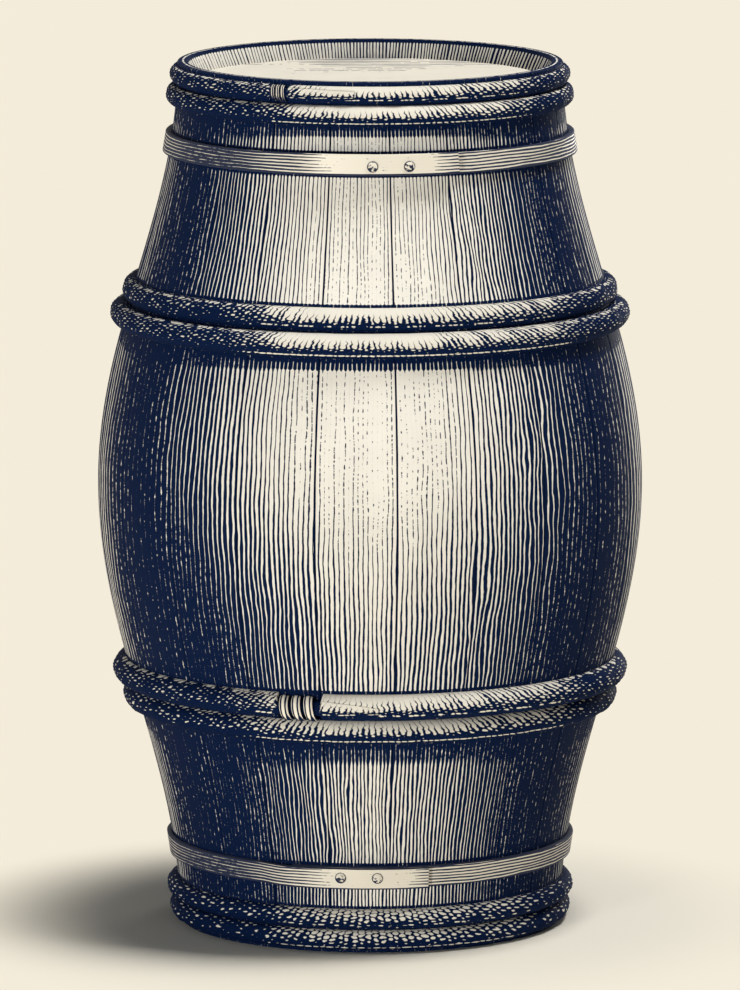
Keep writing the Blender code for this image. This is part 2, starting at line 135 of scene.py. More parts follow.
# %% Light
SKY_LIGHT = 0.08
SKY_COLOUR = (0.78, 0.88, 1.0, 1)


def lamp(name, place, target, size, power):
    """A square area lamp that faces a target."""
    data = bpy.data.lights.new(name, "AREA")
    data.size = size
    data.energy = power
    obj = bpy.data.objects.new(name, data)
    bpy.context.scene.collection.objects.link(obj)
    aim(obj, place, target)


def backdrop_light(tree):
    """1 where a ray comes from the camera, a mirror or glass, and 0 where it lights a surface."""
    path = add(tree, "LightPath", out="Is Camera Ray")
    others = path.node.outputs
    seen = add(tree, "Math", [path, others["Is Glossy Ray"]], operation="MAXIMUM")
    return add(tree, "Math", [seen, others["Is Transmission Ray"]], operation="MAXIMUM")


world = bpy.data.worlds.new("studio")
bpy.context.scene.world = world
world.use_nodes = True
sky = world.node_tree
sky.nodes.clear()
lit = add(sky, "Background", {"Color": SKY_COLOUR, "Strength": SKY_LIGHT})
seen = add(sky, "Background", {"Color": linear(CREAM), "Strength": 1.0})
add(sky, "OutputWorld", {"Surface": add(sky, "MixShader", [backdrop_light(sky), lit, seen])})
lamp("key", (1.55, -0.6, 5.2), (0, 0, 0.2), 1.5, 205)
lamp("fill", (-2.0, -4.0, 0.4), (0, 0, 0.4), 0.8, 102)
lamp("back", (2.0, 3.9, 0.55), (0, 0, 0.45), 1.2, 44)

# %% [markdown]
# ## Floor
# The cask stands on a plain cream floor that runs on into a cream backdrop. A hanging sheet would
# darken where it bends. Here the floor is flat: near the cask it is a matt surface that keeps the
# shadow, and further out it turns into an even glow of the same cream, so no horizon shows.

# %% Floor
FLOOR_ALBEDO = "FBF4E3"
FLOOR_RADIUS = 40
FLOOR_SIDES = 96
FLOOR_DROP = 0.4 * MM
SHADOW_NEAR, SHADOW_FAR = 0.25, 0.47  # between these radii the matt floor turns into the glow

floor_paint, tree = new_material("painted_floor")
place = add(tree, "TexCoord", out="Object")
reach = add(tree, "VectorMath", [place], out="Value", operation="LENGTH")
fade = add(tree, "MapRange", {"Value": reach, "From Min": SHADOW_NEAR, "From Max": SHADOW_FAR},
           interpolation_type="SMOOTHSTEP")
matt = add(tree, "BsdfDiffuse", {"Color": linear(FLOOR_ALBEDO)})
glow = add(tree, "Emission", {"Color": linear(CREAM), "Strength": 1.0})
add(tree, "OutputMaterial", {"Surface": add(tree, "MixShader", [fade, matt, glow])})

turns = np.linspace(0, 2 * np.pi, FLOOR_SIDES, endpoint=False)
disc = np.stack([FLOOR_RADIUS * np.cos(turns), FLOOR_RADIUS * np.sin(turns), 0 * turns - FLOOR_DROP], 1)
floor_mesh = bpy.data.meshes.new("floor")
floor_mesh.from_pydata(disc.tolist(), [], [list(range(FLOOR_SIDES))])
floor_mesh.materials.append(floor_paint)
floor = bpy.data.objects.new("floor", floor_mesh)
bpy.context.scene.collection.objects.link(floor)
print("the shadow fades between", SHADOW_NEAR, "and", SHADOW_FAR, "m")

# %% [markdown]
# ## From rings of points to a piece
# Every new piece is a skin over rows of points: a section carried along a path, worked out as whole
# arrays. Modelling by hand would give one stave and copies of it. Arrays give each stave its own
# place, and any size can be changed later. Rows are joined into quads, the two ends are closed, and
# the signed volume tells whether the faces point outwards.

# %% Skin over rings of points
def ring_faces(count, columns, strip_ends):
    """The point numbers of quads that join each ring to the next, and of the two ends. The ends are one
    face each, or, with strip_ends, quads between column j and the column as far from the other side,
    for long thin sections."""
    index = np.arange(count * columns).reshape(count, columns)
    beside = np.roll(index, -1, axis=1)
    quads = np.stack([index[:-1], beside[:-1], beside[1:], index[1:]], axis=-1).reshape(-1, 4)
    if not strip_ends:
        return quads, [index[0, ::-1], index[-1]]
    for ring, way in ((index[0], -1), (index[-1], 1)):
        near, far = ring[:columns // 2], ring[::-1][:columns // 2]
        strip = np.stack([near[:-1], near[1:], far[1:], far[:-1]], axis=-1)
        quads = np.concatenate([quads, strip[:, ::way]])
    return quads, []


def skin(name, rows, uv=None, strip_ends=False, **values):
    """Joins closed rings, given as an array (row, column, xyz), into a closed shell. Its signed volume,
    the sum of a . (b x c + c x d) over the quads abcd, is made positive, so that faces point outwards.
    uv is (row, column, 2), and each other array (row, column) becomes an attribute of the points."""
    quads, ends = ring_faces(*rows.shape[:2], strip_ends)
    points = rows.reshape(-1, 3)
    a, b, c, d = np.moveaxis(points[quads], 1, 0)
    way = 1 if np.sum(a * (np.cross(b, c) + np.cross(c, d))) > 0 else -1
    quads, ends = quads[:, ::way], [end[::way] for end in ends]
    loops = np.concatenate([quads.reshape(-1), *ends])
    sizes = np.array([4] * len(quads) + [len(end) for end in ends])
    mesh = bpy.data.meshes.new(name)
    mesh.vertices.add(len(points))
    mesh.vertices.foreach_set("co", points.ravel().astype(np.float32))
    mesh.loops.add(len(loops))
    mesh.loops.foreach_set("vertex_index", loops.astype(np.int32))
    mesh.polygons.add(len(sizes))
    mesh.polygons.foreach_set("loop_start", np.concatenate([[0], np.cumsum(sizes)[:-1]]).astype(np.int32))
    mesh.update(calc_edges=True)
    if uv is not None:
        layer = mesh.uv_layers.new(name="surface")
        layer.uv.foreach_set("vector", uv.reshape(-1, 2)[loops].ravel().astype(np.float32))
    for key, array in values.items():
        attribute = mesh.attributes.new(key, "FLOAT", "POINT")
        attribute.data.foreach_set("value", array.ravel().astype(np.float32))
    mesh.validate()
    obj = bpy.data.objects.new(name, mesh)
    bpy.context.scene.collection.objects.link(obj)
    return obj


quads, ends = ring_faces(3, 4, False)
print("three rings of four points make", len(quads), "quads and", len(ends), "ends")

# %% [markdown]
# ## A piece's finish and place
# A skin of points is bare. It still needs smooth shading with its hard edges kept, a material, and its
# place in the frame: the body it rides on, the measured part it stands in for, and the slot its
# material fills. Done by hand for every piece, one would soon be left out, so one function does it.

# %% A piece's finish and place
def finish_piece(obj, material, node, body="cask", sharp=35):
    """Smooth shading with hard edges above an angle, a material, and the piece's place in the frame."""
    obj.data.materials.append(material)
    obj.data.shade_smooth()
    obj.data.set_sharp_from_angle(angle=math.radians(sharp))
    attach(obj, body)
    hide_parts(node)
    return obj


print("kinds of piece:", sorted({name.rstrip("_0123456789").split("_")[-1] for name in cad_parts}))

# %% [markdown]
# ## The cask's curve
# Staves are bent by heat, so the cask's outside is one smooth bow: widest at the bilge and nearly
# straight at the ends. A half cosine wave on each side of the bilge draws that bow. Everything that
# lies on the cask is placed from this one curve.

# %% The cask's curve
HEIGHT = 860 * MM
BILGE_HEIGHT = 440 * MM
BILGE_RADIUS = 270 * MM
END_RADIUS = 190 * MM
STAVE_THICKNESS = 18 * MM
SEAT = 0.3 * MM


def bow(z):
    """Outer radius at a height: the end's radius plus half a cosine wave up to the bilge."""
    reach = np.where(z > BILGE_HEIGHT, HEIGHT - BILGE_HEIGHT, BILGE_HEIGHT)
    share = np.clip(np.abs(z - BILGE_HEIGHT) / reach, 0, 1)
    return END_RADIUS + (BILGE_RADIUS - END_RADIUS) * (1 + np.cos(np.pi * share)) / 2


def around(azimuth, radius, z):
    """Points from azimuth (from the front, -Y, towards +X), radius and height."""
    azimuth, radius, z = np.broadcast_arrays(azimuth, radius, z)
    return np.stack([radius * np.sin(azimuth), -radius * np.cos(azimuth), z], axis=-1)


print("radius at the foot, bilge and rim:", bow(np.array([0, BILGE_HEIGHT, HEIGHT])) / MM, "mm")

# %% [markdown]
# ## Hoops' places
# Split chestnut saplings, still in their bark, lie in four pairs: one at each end and one at each side
# of the belly. A flat iron hoop lies inside each end pair. Each hoop is named by its place, with its
# lower edge, width, thickness and the azimuth of its lap in degrees.

# %% Hoops' places
WOODEN_HOOPS = {
    "top_chime": (838.5, 17.5, 7, -27), "top_head": (817, 20.5, 10, 118),
    "top_quarter": (622.5, 23, 10, -122), "top_bilge": (596.5, 25, 15.5, 152),
    "bottom_bilge": (241.5, 26.5, 16, -16), "bottom_quarter": (216.5, 24, 13, -150),
    "bottom_head": (24, 20.5, 11, 131), "bottom_chime": (3, 20, 9, -112),
}
IRON_HOOPS = {"top_iron": (769.5, 21, 6, 5.6), "bottom_iron": (67.5, 21, 5, -3)}


def measures(hoop):
    """A hoop's lower edge, width and thickness in metres."""
    return [size * MM for size in hoop[:3]]


def hoop_point(hoop, azimuth, across, out):
    """A point on a hoop: across runs up its width from the middle, and out is square to the staves."""
    low, width, _ = measures(hoop)
    run = bow(low + width) - bow(low)
    length = np.hypot(width, run)
    radius = (bow(low + width) + bow(low)) / 2 + (across * run + out * width) / length
    return around(azimuth, radius, low + width / 2 + (across * width - out * run) / length)


print(len(WOODEN_HOOPS), "wooden hoops and", len(IRON_HOOPS), "iron hoops")

# %% [markdown]
# ## How dark the grain is, from place to place, and the painted shade
# The print draws everything by the width of its dark lines: a few dashes where the wood is pale, and lines
# that nearly meet where it is dark. So the wood gets one number at each point, the share of it that is dark,
# and the grain's lines widen with it. Most of this number is painted shade and painted shadow, not the
# wood's own colour. The staves are palest at the front and back and darkest towards the corners between, as
# painted shade on a round body that eases off into painted reflected light at the flanks. They are darker
# near the floor, and black just under each hoop, as a painted shadow. The painted shade is fixed to the cask
# and not to the view: the back is as pale as the front, and the left and right keep their own strengths.

# %% Share of dark grain and painted shade
FRONT_SHARE = 0.125
CORNER_RISE = 0.84
CORNER = (8, 63)  # degrees from the front between which the painted shade deepens
FLANK_LEFT, FLANK_RIGHT, FLANK_END = 62, 56, 86  # and between which it eases off again into painted reflected light
# Where each side turns away from the front: a narrow band of painted shade.
PAINTED_EDGE_SHADE = (82.5, 86.5)
FOOT = (0.27, 0.52)  # heights between which the wood darkens towards the floor
NECK = (0.63, 0.72)  # and towards the top hoops
TOOTH_SHARE = 0.7


def step_up(low, high, x):
    """A smooth step from 0 at low to 1 at high: 3t^2 - 2t^3."""
    t = np.clip((x - low) / (high - low), 0, 1)
    return t * t * (3 - 2 * t)


def fold(azimuth):
    """Degrees from the front, -90 on the left to 90 on the right, with the back mirrored on the front."""
    return np.degrees(np.arctan2(np.sin(azimuth), np.abs(np.cos(azimuth))))


def painted_flank_shade(azimuth, low=0.0):
    """Painted shade by azimuth, as a dark share: it rises on both sides and eases off towards the flanks
    into painted reflected light. Near the floor, where low is 1, it rises sooner and eases off further on
    the left. A narrow band of painted shade ends each side, where the side turns away from the front."""
    folded = fold(azimuth)
    lean = np.abs(folded) + low * (13.5 - 4.5 * np.clip(folded / 20, -1, 1))
    tone = FRONT_SHARE + CORNER_RISE * step_up(*CORNER, lean)
    ease = 0.42 + 0.36 * low * (folded < 0)
    tone = tone - ease * step_up(np.where(folded < 0, FLANK_LEFT, FLANK_RIGHT), FLANK_END, np.abs(folded))
    # A narrow band of painted shade ends each side.
    return np.maximum(tone, 0.97 * step_up(*PAINTED_EDGE_SHADE, np.abs(folded)))


def stave_painted_shade(azimuth, z):
    """Dark share on the staves: painted shade by azimuth, more near the floor and at the neck, and full
    along both rims. Under each hoop a painted shadow is full and then a comb of short teeth, and these reach
    deeper on the sides and where the wall leans out over them. Just above each hoop runs a thin dark line of
    painted shade where hoop and stave meet."""
    low = 1 - step_up(*FOOT, z)
    side = painted_flank_shade(azimuth, low)
    pale = (1 - side) * (1 - 0.25 * low) * (1 - 0.08 * step_up(*NECK, z))
    pale = pale * (1 - step_up(-4.4, -3.9, (z - HEIGHT) / MM)) * step_up(2.2, 3, z / MM)
    for name, (bottom, width, thickness, _) in {**WOODEN_HOOPS, **IRON_HOOPS}.items():
        bottom, top = bottom * MM, (bottom + width) * MM
        lean = max(0.0, float(bow(top) - bow(bottom))) / (top - bottom)
        depth = (0.9 + 1.6 * lean + 0.9 * side) * min(thickness, 10 + 20 * lean) * MM
        teeth = TOOTH_SHARE
        if name in IRON_HOOPS:
            depth, teeth = 0.7 * depth, 0.0
        down, up = (bottom - z) / depth, (z - top) / MM
        # Painted shadow under the hoop: full at first, then a comb of short teeth.
        under = (1 - teeth) * (1 - step_up(0.24, 0.42, down)) + teeth * (1 - step_up(0.90, 1.04, down))
        # Painted shade in the crease just above the hoop.
        over = step_up(-0.5, 0.1, up) * (1 - step_up(2.2, 3, up))
        pale = pale * (1 - under * (z < top)) * (1 - 0.92 * over)
    return 1 - pale


print("dark share at the front and at the left corner:", painted_flank_shade(np.radians([0, -57])).round(2))

# %% [markdown]
# ## Oak: dark grain in bleached wood
# Oak is ring-porous: every year leaves a row of open pores, which hold dirt and stain and show as dark
# lines along the stave. In cleft and bent staves they follow the stave from end to end, so they draw
# together where it narrows. A stretched noise texture would blur them. Here a triangle wave across
# the stave is compared with the dark share, which gives crisp lines whose width is under control. Noise
# bends the lines, breaks the palest and the darkest into dashes, and makes some stronger than others.
# Real pores are under half a millimetre apart and too fine to show, so the lines are drawn 5 mm apart,
# and up to 12 mm on the flanks. Bright wood bleeds over thin lines in a picture, so the lines are drawn
# a little wider than the share asks for. One that would be thinner than 0.8 mm is left out, and the
# rest are a millimetre wide or more, so that dashes end bluntly.

# %% Grain lines
GRAIN_PITCH = 4.9 * MM
BLOOM = 0.11  # what bright wood takes from a line, as a share of the pitch
FAINTEST = 0.16  # a line narrower than this share of the pitch is left out
NARROWEST = 0.21
LINE_CHANCE = 0.14  # how much lines differ from each other
BREAK_CHANCE = 0.85  # how much a line differs from place to place
GLOSS = 0.04  # bleached wood hardly shines
MOTTLE_SCALE = 22.0  # paler and deeper spots about 45 mm apart
MOTTLE_DEPTH = 0.93


def grain(tree, across, along, tone, seed, bend, dash):
    """Dark lines: 1 where a triangle wave across the grain, 0 to 1 and back once a pitch, is below the
    dark share. across counts pitches and along is in metres. bend is how far the lines wander, in
    pitches, and dash is how long their broken stretches are, in metres."""
    lane = add(tree, "CombineXYZ", [across, along, seed])
    lane = add(tree, "Mapping", {"Vector": lane, "Scale": (0.22, 16, 1)})  # bends span 4 lines and 60 mm
    drift = add(tree, "TexNoise", {"Vector": lane, "Scale": 1.0, "Detail": 3.0, "Roughness": 0.5}, out="Fac")
    drift = add(tree, "Math", [drift, 0.5], operation="SUBTRACT")
    moved = add(tree, "Math", [drift, bend, across], operation="MULTIPLY_ADD")
    wave = add(tree, "Math", [moved, 0.5], operation="PINGPONG")
    wave = add(tree, "Math", [wave, 2.0], operation="MULTIPLY")
    line = add(tree, "Math", [moved], operation="ROUND")
    line = add(tree, "CombineXYZ", [line, seed])
    strength = add(tree, "TexWhiteNoise", {"Vector": line}, out="Value", noise_dimensions="2D")
    breaks = []
    for lanes, length in ((1.9, dash), (1.0, 0.46 * dash)):  # long stretches, and short dashes
        x = add(tree, "Math", [moved, lanes], operation="MULTIPLY")
        y = add(tree, "Math", [along, 1 / length], operation="MULTIPLY")
        point = add(tree, "CombineXYZ", [x, y, seed])
        breaks.append(add(tree, "TexNoise", {"Vector": point, "Scale": 1.0, "Detail": 2.0, "Roughness": 0.6},
                          out="Fac"))
    calm = add(tree, "MapRange", {"Value": breaks[0], "To Min": 0.28, "To Max": 0.72})
    extreme = add(tree, "Math", [tone, 0.5], operation="SUBTRACT")
    extreme = add(tree, "Math", [extreme], operation="ABSOLUTE")
    extreme = add(tree, "MapRange", {"Value": extreme, "From Min": 0.25, "From Max": 0.36})
    breaks = add(tree, "Mix", {"Factor": extreme, 2: calm, 3: breaks[1]}, data_type="FLOAT")
    bloom = add(tree, "MapRange", {"Value": tone, "From Min": 0.08, "From Max": 0.40,
                                   "To Min": -0.03, "To Max": BLOOM})
    # The lines widen with the dark share, so painted shade shows as wider lines.
    share = add(tree, "Math", [strength, LINE_CHANCE, tone], operation="MULTIPLY_ADD")
    share = add(tree, "Math", [breaks, BREAK_CHANCE, share], operation="MULTIPLY_ADD")
    share = add(tree, "Math", [share, bloom], operation="ADD")
    share = add(tree, "Math", [share, (LINE_CHANCE + BREAK_CHANCE) / 2], operation="SUBTRACT")
    seen = add(tree, "Math", [share, FAINTEST], operation="GREATER_THAN")
    share = add(tree, "Math", [share, NARROWEST], operation="MAXIMUM")
    share = add(tree, "Math", [share, seen], operation="MULTIPLY")
    gap = add(tree, "Math", [share, wave], operation="SUBTRACT")
    return add(tree, "MapRange", {"Value": gap, "From Min": -0.03, "From Max": 0.07})


def wood_surface(tree, dark, pale_hex, roughness, depth):
    """Cream wood with dark pores: the pores are a little sunk, and the wood is faintly mottled."""
    place = add(tree, "TexCoord", out="Object")
    mottle = add(tree, "TexNoise", {"Vector": place, "Scale": MOTTLE_SCALE, "Detail": 4.0}, out="Fac")
    mottle = add(tree, "MapRange", {"Value": mottle, "From Min": 0.3, "From Max": 0.7})
    deeper = (*[c * MOTTLE_DEPTH for c in linear(pale_hex)[:3]], 1)
    pale = add(tree, "Mix", {"Factor": mottle, 6: linear(pale_hex), 7: deeper}, out=2, data_type="RGBA")
    colour = add(tree, "Mix", {"Factor": dark, 6: pale, 7: linear(INK)}, out=2, data_type="RGBA")
    sunk = add(tree, "Math", [1.0, dark], operation="SUBTRACT")
    relief = add(tree, "Bump", {"Height": sunk, "Strength": 0.5, "Distance": depth})
    shader = add(tree, "BsdfPrincipled", {"Base Color": colour, "Roughness": roughness, "Normal": relief,
                                          "Specular IOR Level": GLOSS})
    add(tree, "OutputMaterial", {"Surface": shader})


def own_map(tree):
    """The two coordinates of a piece's own map, and its dark share, which carries painted shade."""
    u = add(tree, "SeparateXYZ", [add(tree, "UVMap", uv_map="surface")], out="X")
    return u, u.node.outputs["Y"], add(tree, "Attribute", out="Fac", attribute_name="dark_share")


print("grain lines", GRAIN_PITCH / MM, "mm apart at the bilge")

# %% [markdown]
# ## Oak's two faces
# Along the stave the oak is bleached and pale between its pore lines. At the rims it is cut across,
# and cut pores drink up dirt, so the ends are nearly black, but for a ring that is rubbed pale. One
# material for both would draw long lines over the end grain, so each face gets its own. The first reads
# the piece's map and numbers, and the second reads the place on the cask.

# %% Oak's two faces
RIM_WEAR = (184.6 * MM, 0.9 * MM)  # the rubbed ring's radius and half its width
FLECK_SCALE = 260.0  # dark flecks in it, about 4 mm apart

bleached_oak, tree = new_material("bleached_cleft_oak")  # pale, matt, with crisp dark pore lines
across, along, tone = own_map(tree)
bend = add(tree, "Attribute", out="Fac", attribute_name="figure")
seed = add(tree, "Attribute", out="Fac", attribute_name="stave")
wood_surface(tree, grain(tree, across, along, tone, seed, bend, 9 * MM), WOOD, 0.7, 0.3 * MM)

end_oak, tree = new_material("oak_end_grain")  # cut pores drink up dirt, so the ends are nearly black
place = add(tree, "TexCoord", out="Object")
flat = add(tree, "VectorMath", [place, (1, 1, 0)], operation="MULTIPLY")
reach = add(tree, "VectorMath", [flat], out="Value", operation="LENGTH")
worn = add(tree, "Math", [reach, *RIM_WEAR], operation="COMPARE")
flecks = add(tree, "TexNoise", {"Vector": place, "Scale": FLECK_SCALE, "Detail": 2.0}, out="Fac")
flecks = add(tree, "MapRange", {"Value": flecks, "From Min": 0.40, "From Max": 0.46})
worn = add(tree, "Math", [worn, flecks], operation="MULTIPLY")
wood_surface(tree, add(tree, "Math", [1.0, worn], operation="SUBTRACT"), WOOD, 0.8, 0.2 * MM)
print("oak materials:", bleached_oak.name, "and", end_oak.name)

# %% [markdown]
# ## Staves' widths
# A cooper takes staves as they come, so no two are alike, and equal ones would look machine-made. Here
# the circle is cut into shares that grow and shrink by a few per cent, with one wider stave at the back
# for the bung hole. Each stave sits a hair in or out of its neighbours, as hand-jointed ones do.

# %% Staves' widths
STAVE_COUNT = 21
BUNG_STAVE_SHARE = 1.12
WIDTH_SPREAD = 0.05
PROUD = (-0.35, 0.2)  # how far a stave may stand in or out of the bow, in mm

shares = 1 + WIDTH_SPREAD * np.sin(2 * np.pi * np.arange(STAVE_COUNT) / STAVE_COUNT)
shares[0] = BUNG_STAVE_SHARE
shares *= 2 * np.pi / shares.sum()
joints = np.pi - shares[0] / 2 + np.concatenate([[0], np.cumsum(shares)])
random = np.random.default_rng(7)
proud = random.uniform(*PROUD, STAVE_COUNT) * MM
print("staves", (shares * BILGE_RADIUS / MM).round().tolist(), "mm wide at the bilge")

# %% [markdown]
# ## A stave's profile
# A stave is a bowed board: a flat-backed slat, hollowed inside and rounded outside, with a slope
# (the chime) and a groove (the croze) cut at both ends for the head. Cutting them out of a plain board
# takes a tool for each. Here the outside and the inside are two lists of radii by height, and the slope
# and the groove are points in the inner one.

# %% A stave's profile
LIP_THICKNESS = 9 * MM
LIP_CHAMFER = 1.5 * MM
HEAD_RECESS = 18 * MM
CROZE_NEAR = 20.7 * MM
CROZE_FAR = 27.3 * MM
CROZE_DEPTH = 5 * MM


def stave_heights():
    """Even heights up a stave, with more of them where the wood darkens beside each hoop."""
    z = [[0, LIP_CHAMFER, HEIGHT - LIP_CHAMFER, HEIGHT], np.linspace(4 * MM, HEIGHT - 4 * MM, 150)]
    for low, width, thickness, _ in [*WOODEN_HOOPS.values(), *IRON_HOOPS.values()]:
        z.append((low - thickness * np.array([0, 0.17, 0.3, 0.5, 0.63, 0.73, 0.9, 1.1, 1.3])) * MM)
        z.append((low + width + np.array([-0.5, 0.1, 2.2, 3])) * MM)
    z = np.unique(np.round(np.concatenate(z), 5))
    return z[(z >= 0) & (z <= HEIGHT)]


HEIGHTS = stave_heights()
ROWS = len(HEIGHTS)


def outer_profile():
    """Heights and radii up the outside, with a small chamfer at each lip."""
    return HEIGHTS, bow(HEIGHTS) - LIP_CHAMFER * ((HEIGHTS == 0) | (HEIGHTS == HEIGHT))


def inner_profile(count):
    """Heights and radii up the inside: lip, chime slope, croze groove, wall, and the same at the top."""
    setback = np.array([0, 2.4 * MM, 3.6 * MM, HEAD_RECESS, CROZE_NEAR, CROZE_NEAR, CROZE_FAR, CROZE_FAR])
    cut = np.array([0, 0, 0, 0, 0, CROZE_DEPTH, CROZE_DEPTH, 0])
    slope = np.clip(1 - setback / HEAD_RECESS, 0, 1) * (STAVE_THICKNESS - LIP_THICKNESS)
    wall = bow(setback) - STAVE_THICKNESS + cut + slope
    wall_top = bow(HEIGHT - setback) - STAVE_THICKNESS + cut + slope
    z = np.linspace(CROZE_FAR, HEIGHT - CROZE_FAR, count - 14)[1:-1]
    return (np.concatenate([setback, z, (HEIGHT - setback)[::-1]]),
            np.concatenate([wall, bow(z) - STAVE_THICKNESS, wall_top[::-1]]))


print(ROWS, "heights; the croze is", CROZE_DEPTH / MM, "mm deep and starts", CROZE_NEAR / MM, "mm down")

# %% [markdown]
# ## Staves
# A stave could be a bent box, but its section changes all the way up. So each height gets a ring of
# points: across the outside, down the joint, and back across the inside. The two arrises are eased,
# which leaves the fine dark line between staves. Here and there the grain is wild, and its lines
# wander further.

# %% Staves
WANDER = 1.4  # how far grain lines stray, in pitches
WILD_PATCHES = (  # azimuth and height of a patch, its reach in degrees and metres, and the wander it adds
    (27, 0.70, 7, 0.06, 1.6), (24, 0.33, 5, 0.10, 1.4), (-24, 0.36, 6, 0.05, 1.0), (38, 0.50, 7, 0.12, 1.3),
    (-140, 0.62, 7, 0.08, 2.0), (150, 0.3, 8, 0.1, 1.6), (95, 0.5, 7, 0.08, 1.8), (-80, 0.68, 6, 0.06, 1.6),
    (-8, 0.13, 22, 0.11, 1.1), (172, 0.13, 22, 0.11, 1.1))


def figure_at(azimuth, z):
    """How far grain lines wander, in pitches: a little everywhere, and more in a few wild patches, each
    a bell curve of azimuth times one of height."""
    wander = np.full(np.broadcast(azimuth, z).shape, WANDER)
    for angle, height, turn, rise, size in WILD_PATCHES:
        apart = np.degrees(np.angle(np.exp(1j * (azimuth - np.radians(angle)))))
        wander = wander + size * np.exp(-(apart / turn) ** 2 - ((z - height) / rise) ** 2)
    return wander


def make_stave(number):
    """One stave: azimuths across it by heights up it, outside first and then back along the inside. Its
    grain is coarser the nearer it stands to a flank."""
    start, end = joints[number], joints[number + 1]
    trim = SEAT / (BILGE_RADIUS + END_RADIUS)
    width = (end - start) * BILGE_RADIUS
    edge = np.array([0, 0.5, 1.0, 1.3, 2.4]) * MM / width
    across = np.concatenate([edge, np.linspace(0, 1, 9)[1:-1], 1 - edge[::-1]])
    eased = np.array([1.1, 0.5, 0.15, 0.05, 0] + [0] * 7 + [0, 0.05, 0.15, 0.5, 1.1]) * MM
    azimuth = start + trim + across * (end - start - 2 * trim)
    z_out, r_out = outer_profile()
    z_in, r_in = inner_profile(ROWS)
    outside = around(azimuth, r_out[:, None] - eased + proud[number], z_out[:, None])
    inside = around(azimuth[::-1], r_in[:, None], z_in[:, None])
    growth = 1 + 1.5 * math.sin((start + end) / 2) ** 4
    lanes = max(1, round(width / GRAIN_PITCH / growth))
    lane = np.concatenate([across, across[::-1]]) * lanes + 100 * number
    height = np.concatenate([np.repeat(z[:, None], len(across), 1) for z in (z_out, z_in)], 1)
    uv = np.stack(np.broadcast_arrays(lane, height), axis=-1)
    # Outside: painted shade and painted shadows, with dark joints at the eased arrises.
    dark = stave_painted_shade(azimuth, z_out[:, None])
    dark = np.maximum(dark, (eased > 0.2 * MM) * 1.15)
    # Inside: painted shade of the recess, deeper towards the right and at the top lip.
    hollow = 0.34 + 0.14 * np.sin(azimuth[::-1]) + step_up(-3.5, -2.5, (z_in[:, None] - HEIGHT) / MM)
    both = np.concatenate([azimuth, azimuth[::-1]])
    name = "bung_stave" if number == 0 else f"stave_{number:02d}"
    return skin(name + "_oak", np.concatenate([outside, inside], 1), uv, strip_ends=True,
                dark_share=np.concatenate([dark, hollow], 1), figure=figure_at(both, height),
                stave=np.full((ROWS, 2 * len(across)), number * 3.7)), name


staves = []
for number in range(STAVE_COUNT):
    obj, name = make_stave(number)
    cap_faces = len(obj.data.vertices) // ROWS - 2  # the strips over the two ends come last
    finish_piece(obj, bleached_oak, name)
    obj.data.materials.append(end_oak)
    faces = np.zeros(len(obj.data.polygons), np.int32)
    faces[-cap_faces:] = 1
    obj.data.polygons.foreach_set("material_index", faces)
    staves.append(obj)
print(len(staves), "staves,", sum(len(o.data.polygons) for o in staves), "faces")

# %% [markdown]
# ## The bung hole
# The bung stave is wider than the rest, because a hole is bored and reamed through its belly. Working
# the hole into the stave's rings would bend its grain. A tapered cutter takes it out instead, as the
# cooper's reamer does, and the cut is made final so that the cutter can go.

# %% The bung hole
BUNG_RADIUS = 26 * MM
BUNG_SLOPE = math.tan(math.radians(4))
REAMER = np.array([-52, 16]) * MM  # its two ends, from the bilge's surface outwards


def cone_radius(height):
    """Radius of the bung's cone, which grows evenly with the height over the bilge's surface."""
    return BUNG_RADIUS + height * BUNG_SLOPE


def lathe(profile, place, sides):
    """Rings of a (radius, height) profile turned round an axis that points straight out of the cask at a
    place, which is (azimuth, radius, z)."""
    profile = np.asarray(profile, float)
    turn = np.linspace(0, 2 * np.pi, sides, endpoint=False)
    azimuth, radius, z = place
    out = np.array([math.sin(azimuth), -math.cos(azimuth), 0])
    along = np.array([math.cos(azimuth), math.sin(azimuth), 0])
    up = np.cross(out, along)
    ring = np.cos(turn)[:, None] * along + np.sin(turn)[:, None] * up
    return out * radius + np.array([0, 0, z]) + profile[:, :1, None] * ring + profile[:, 1:, None] * out


bilge = (math.pi, float(bow(BILGE_HEIGHT)), BILGE_HEIGHT)
cutter = skin("reamer", lathe(np.stack([SEAT + cone_radius(REAMER), REAMER], 1), bilge, 96))
cut = staves[0].modifiers.new("hole", "BOOLEAN")
cut.object, cut.operation, cut.solver = cutter, "DIFFERENCE", "EXACT"
bored = bpy.data.meshes.new_from_object(staves[0].evaluated_get(bpy.context.evaluated_depsgraph_get()))
staves[0].modifiers.clear()
staves[0].data = bored
bpy.data.objects.remove(cutter)
print("bung stave:", len(bored.polygons), "faces with its hole")

# %% [markdown]
# ## Heads
# Each head is four boards, dowelled edge to edge. Its rim is bevelled inside and cut to a tongue,
# which the croze grips. From outside only the flat boards show, with their edges a little eased. A
# disc sawn into boards would have sharp edges between them, so each board is made from its own outline,
# the head's circle cut by two straight lines. The same outline at other radii and heights gives the
# tongue and the bevel. The wood is planed smooth and pale, and its faint grain runs along the boards,
# so its lines read the place on the head and need no map.

# %% Heads
HEAD_THICKNESS = 18
TONGUE_TOP, TONGUE_BACK = 3, 9
TONGUE_REACH = 4 * MM
BEVEL = 16 * MM
EASED_EDGE = 0.7
BOARD_PITCH = 95 * MM
BOARD_COUNT = 4


def board_ring(radius, low, high, z, steps=40):
    """The circle of a radius cut by y = low and y = high, as a ring: along one cut, round the arc,
    back along the other cut and round the far arc."""
    low, high = max(low, -radius * 0.9995), min(high, radius * 0.9995)
    first, last = math.asin(low / radius), math.asin(high / radius)
    arc = np.linspace(first, last, steps)
    side = np.stack([radius * np.cos(arc), radius * np.sin(arc)], 1)
    ring = np.concatenate([side, (side * (-1, 1))[::-1]])
    return np.column_stack([ring, np.full(len(ring), z)])


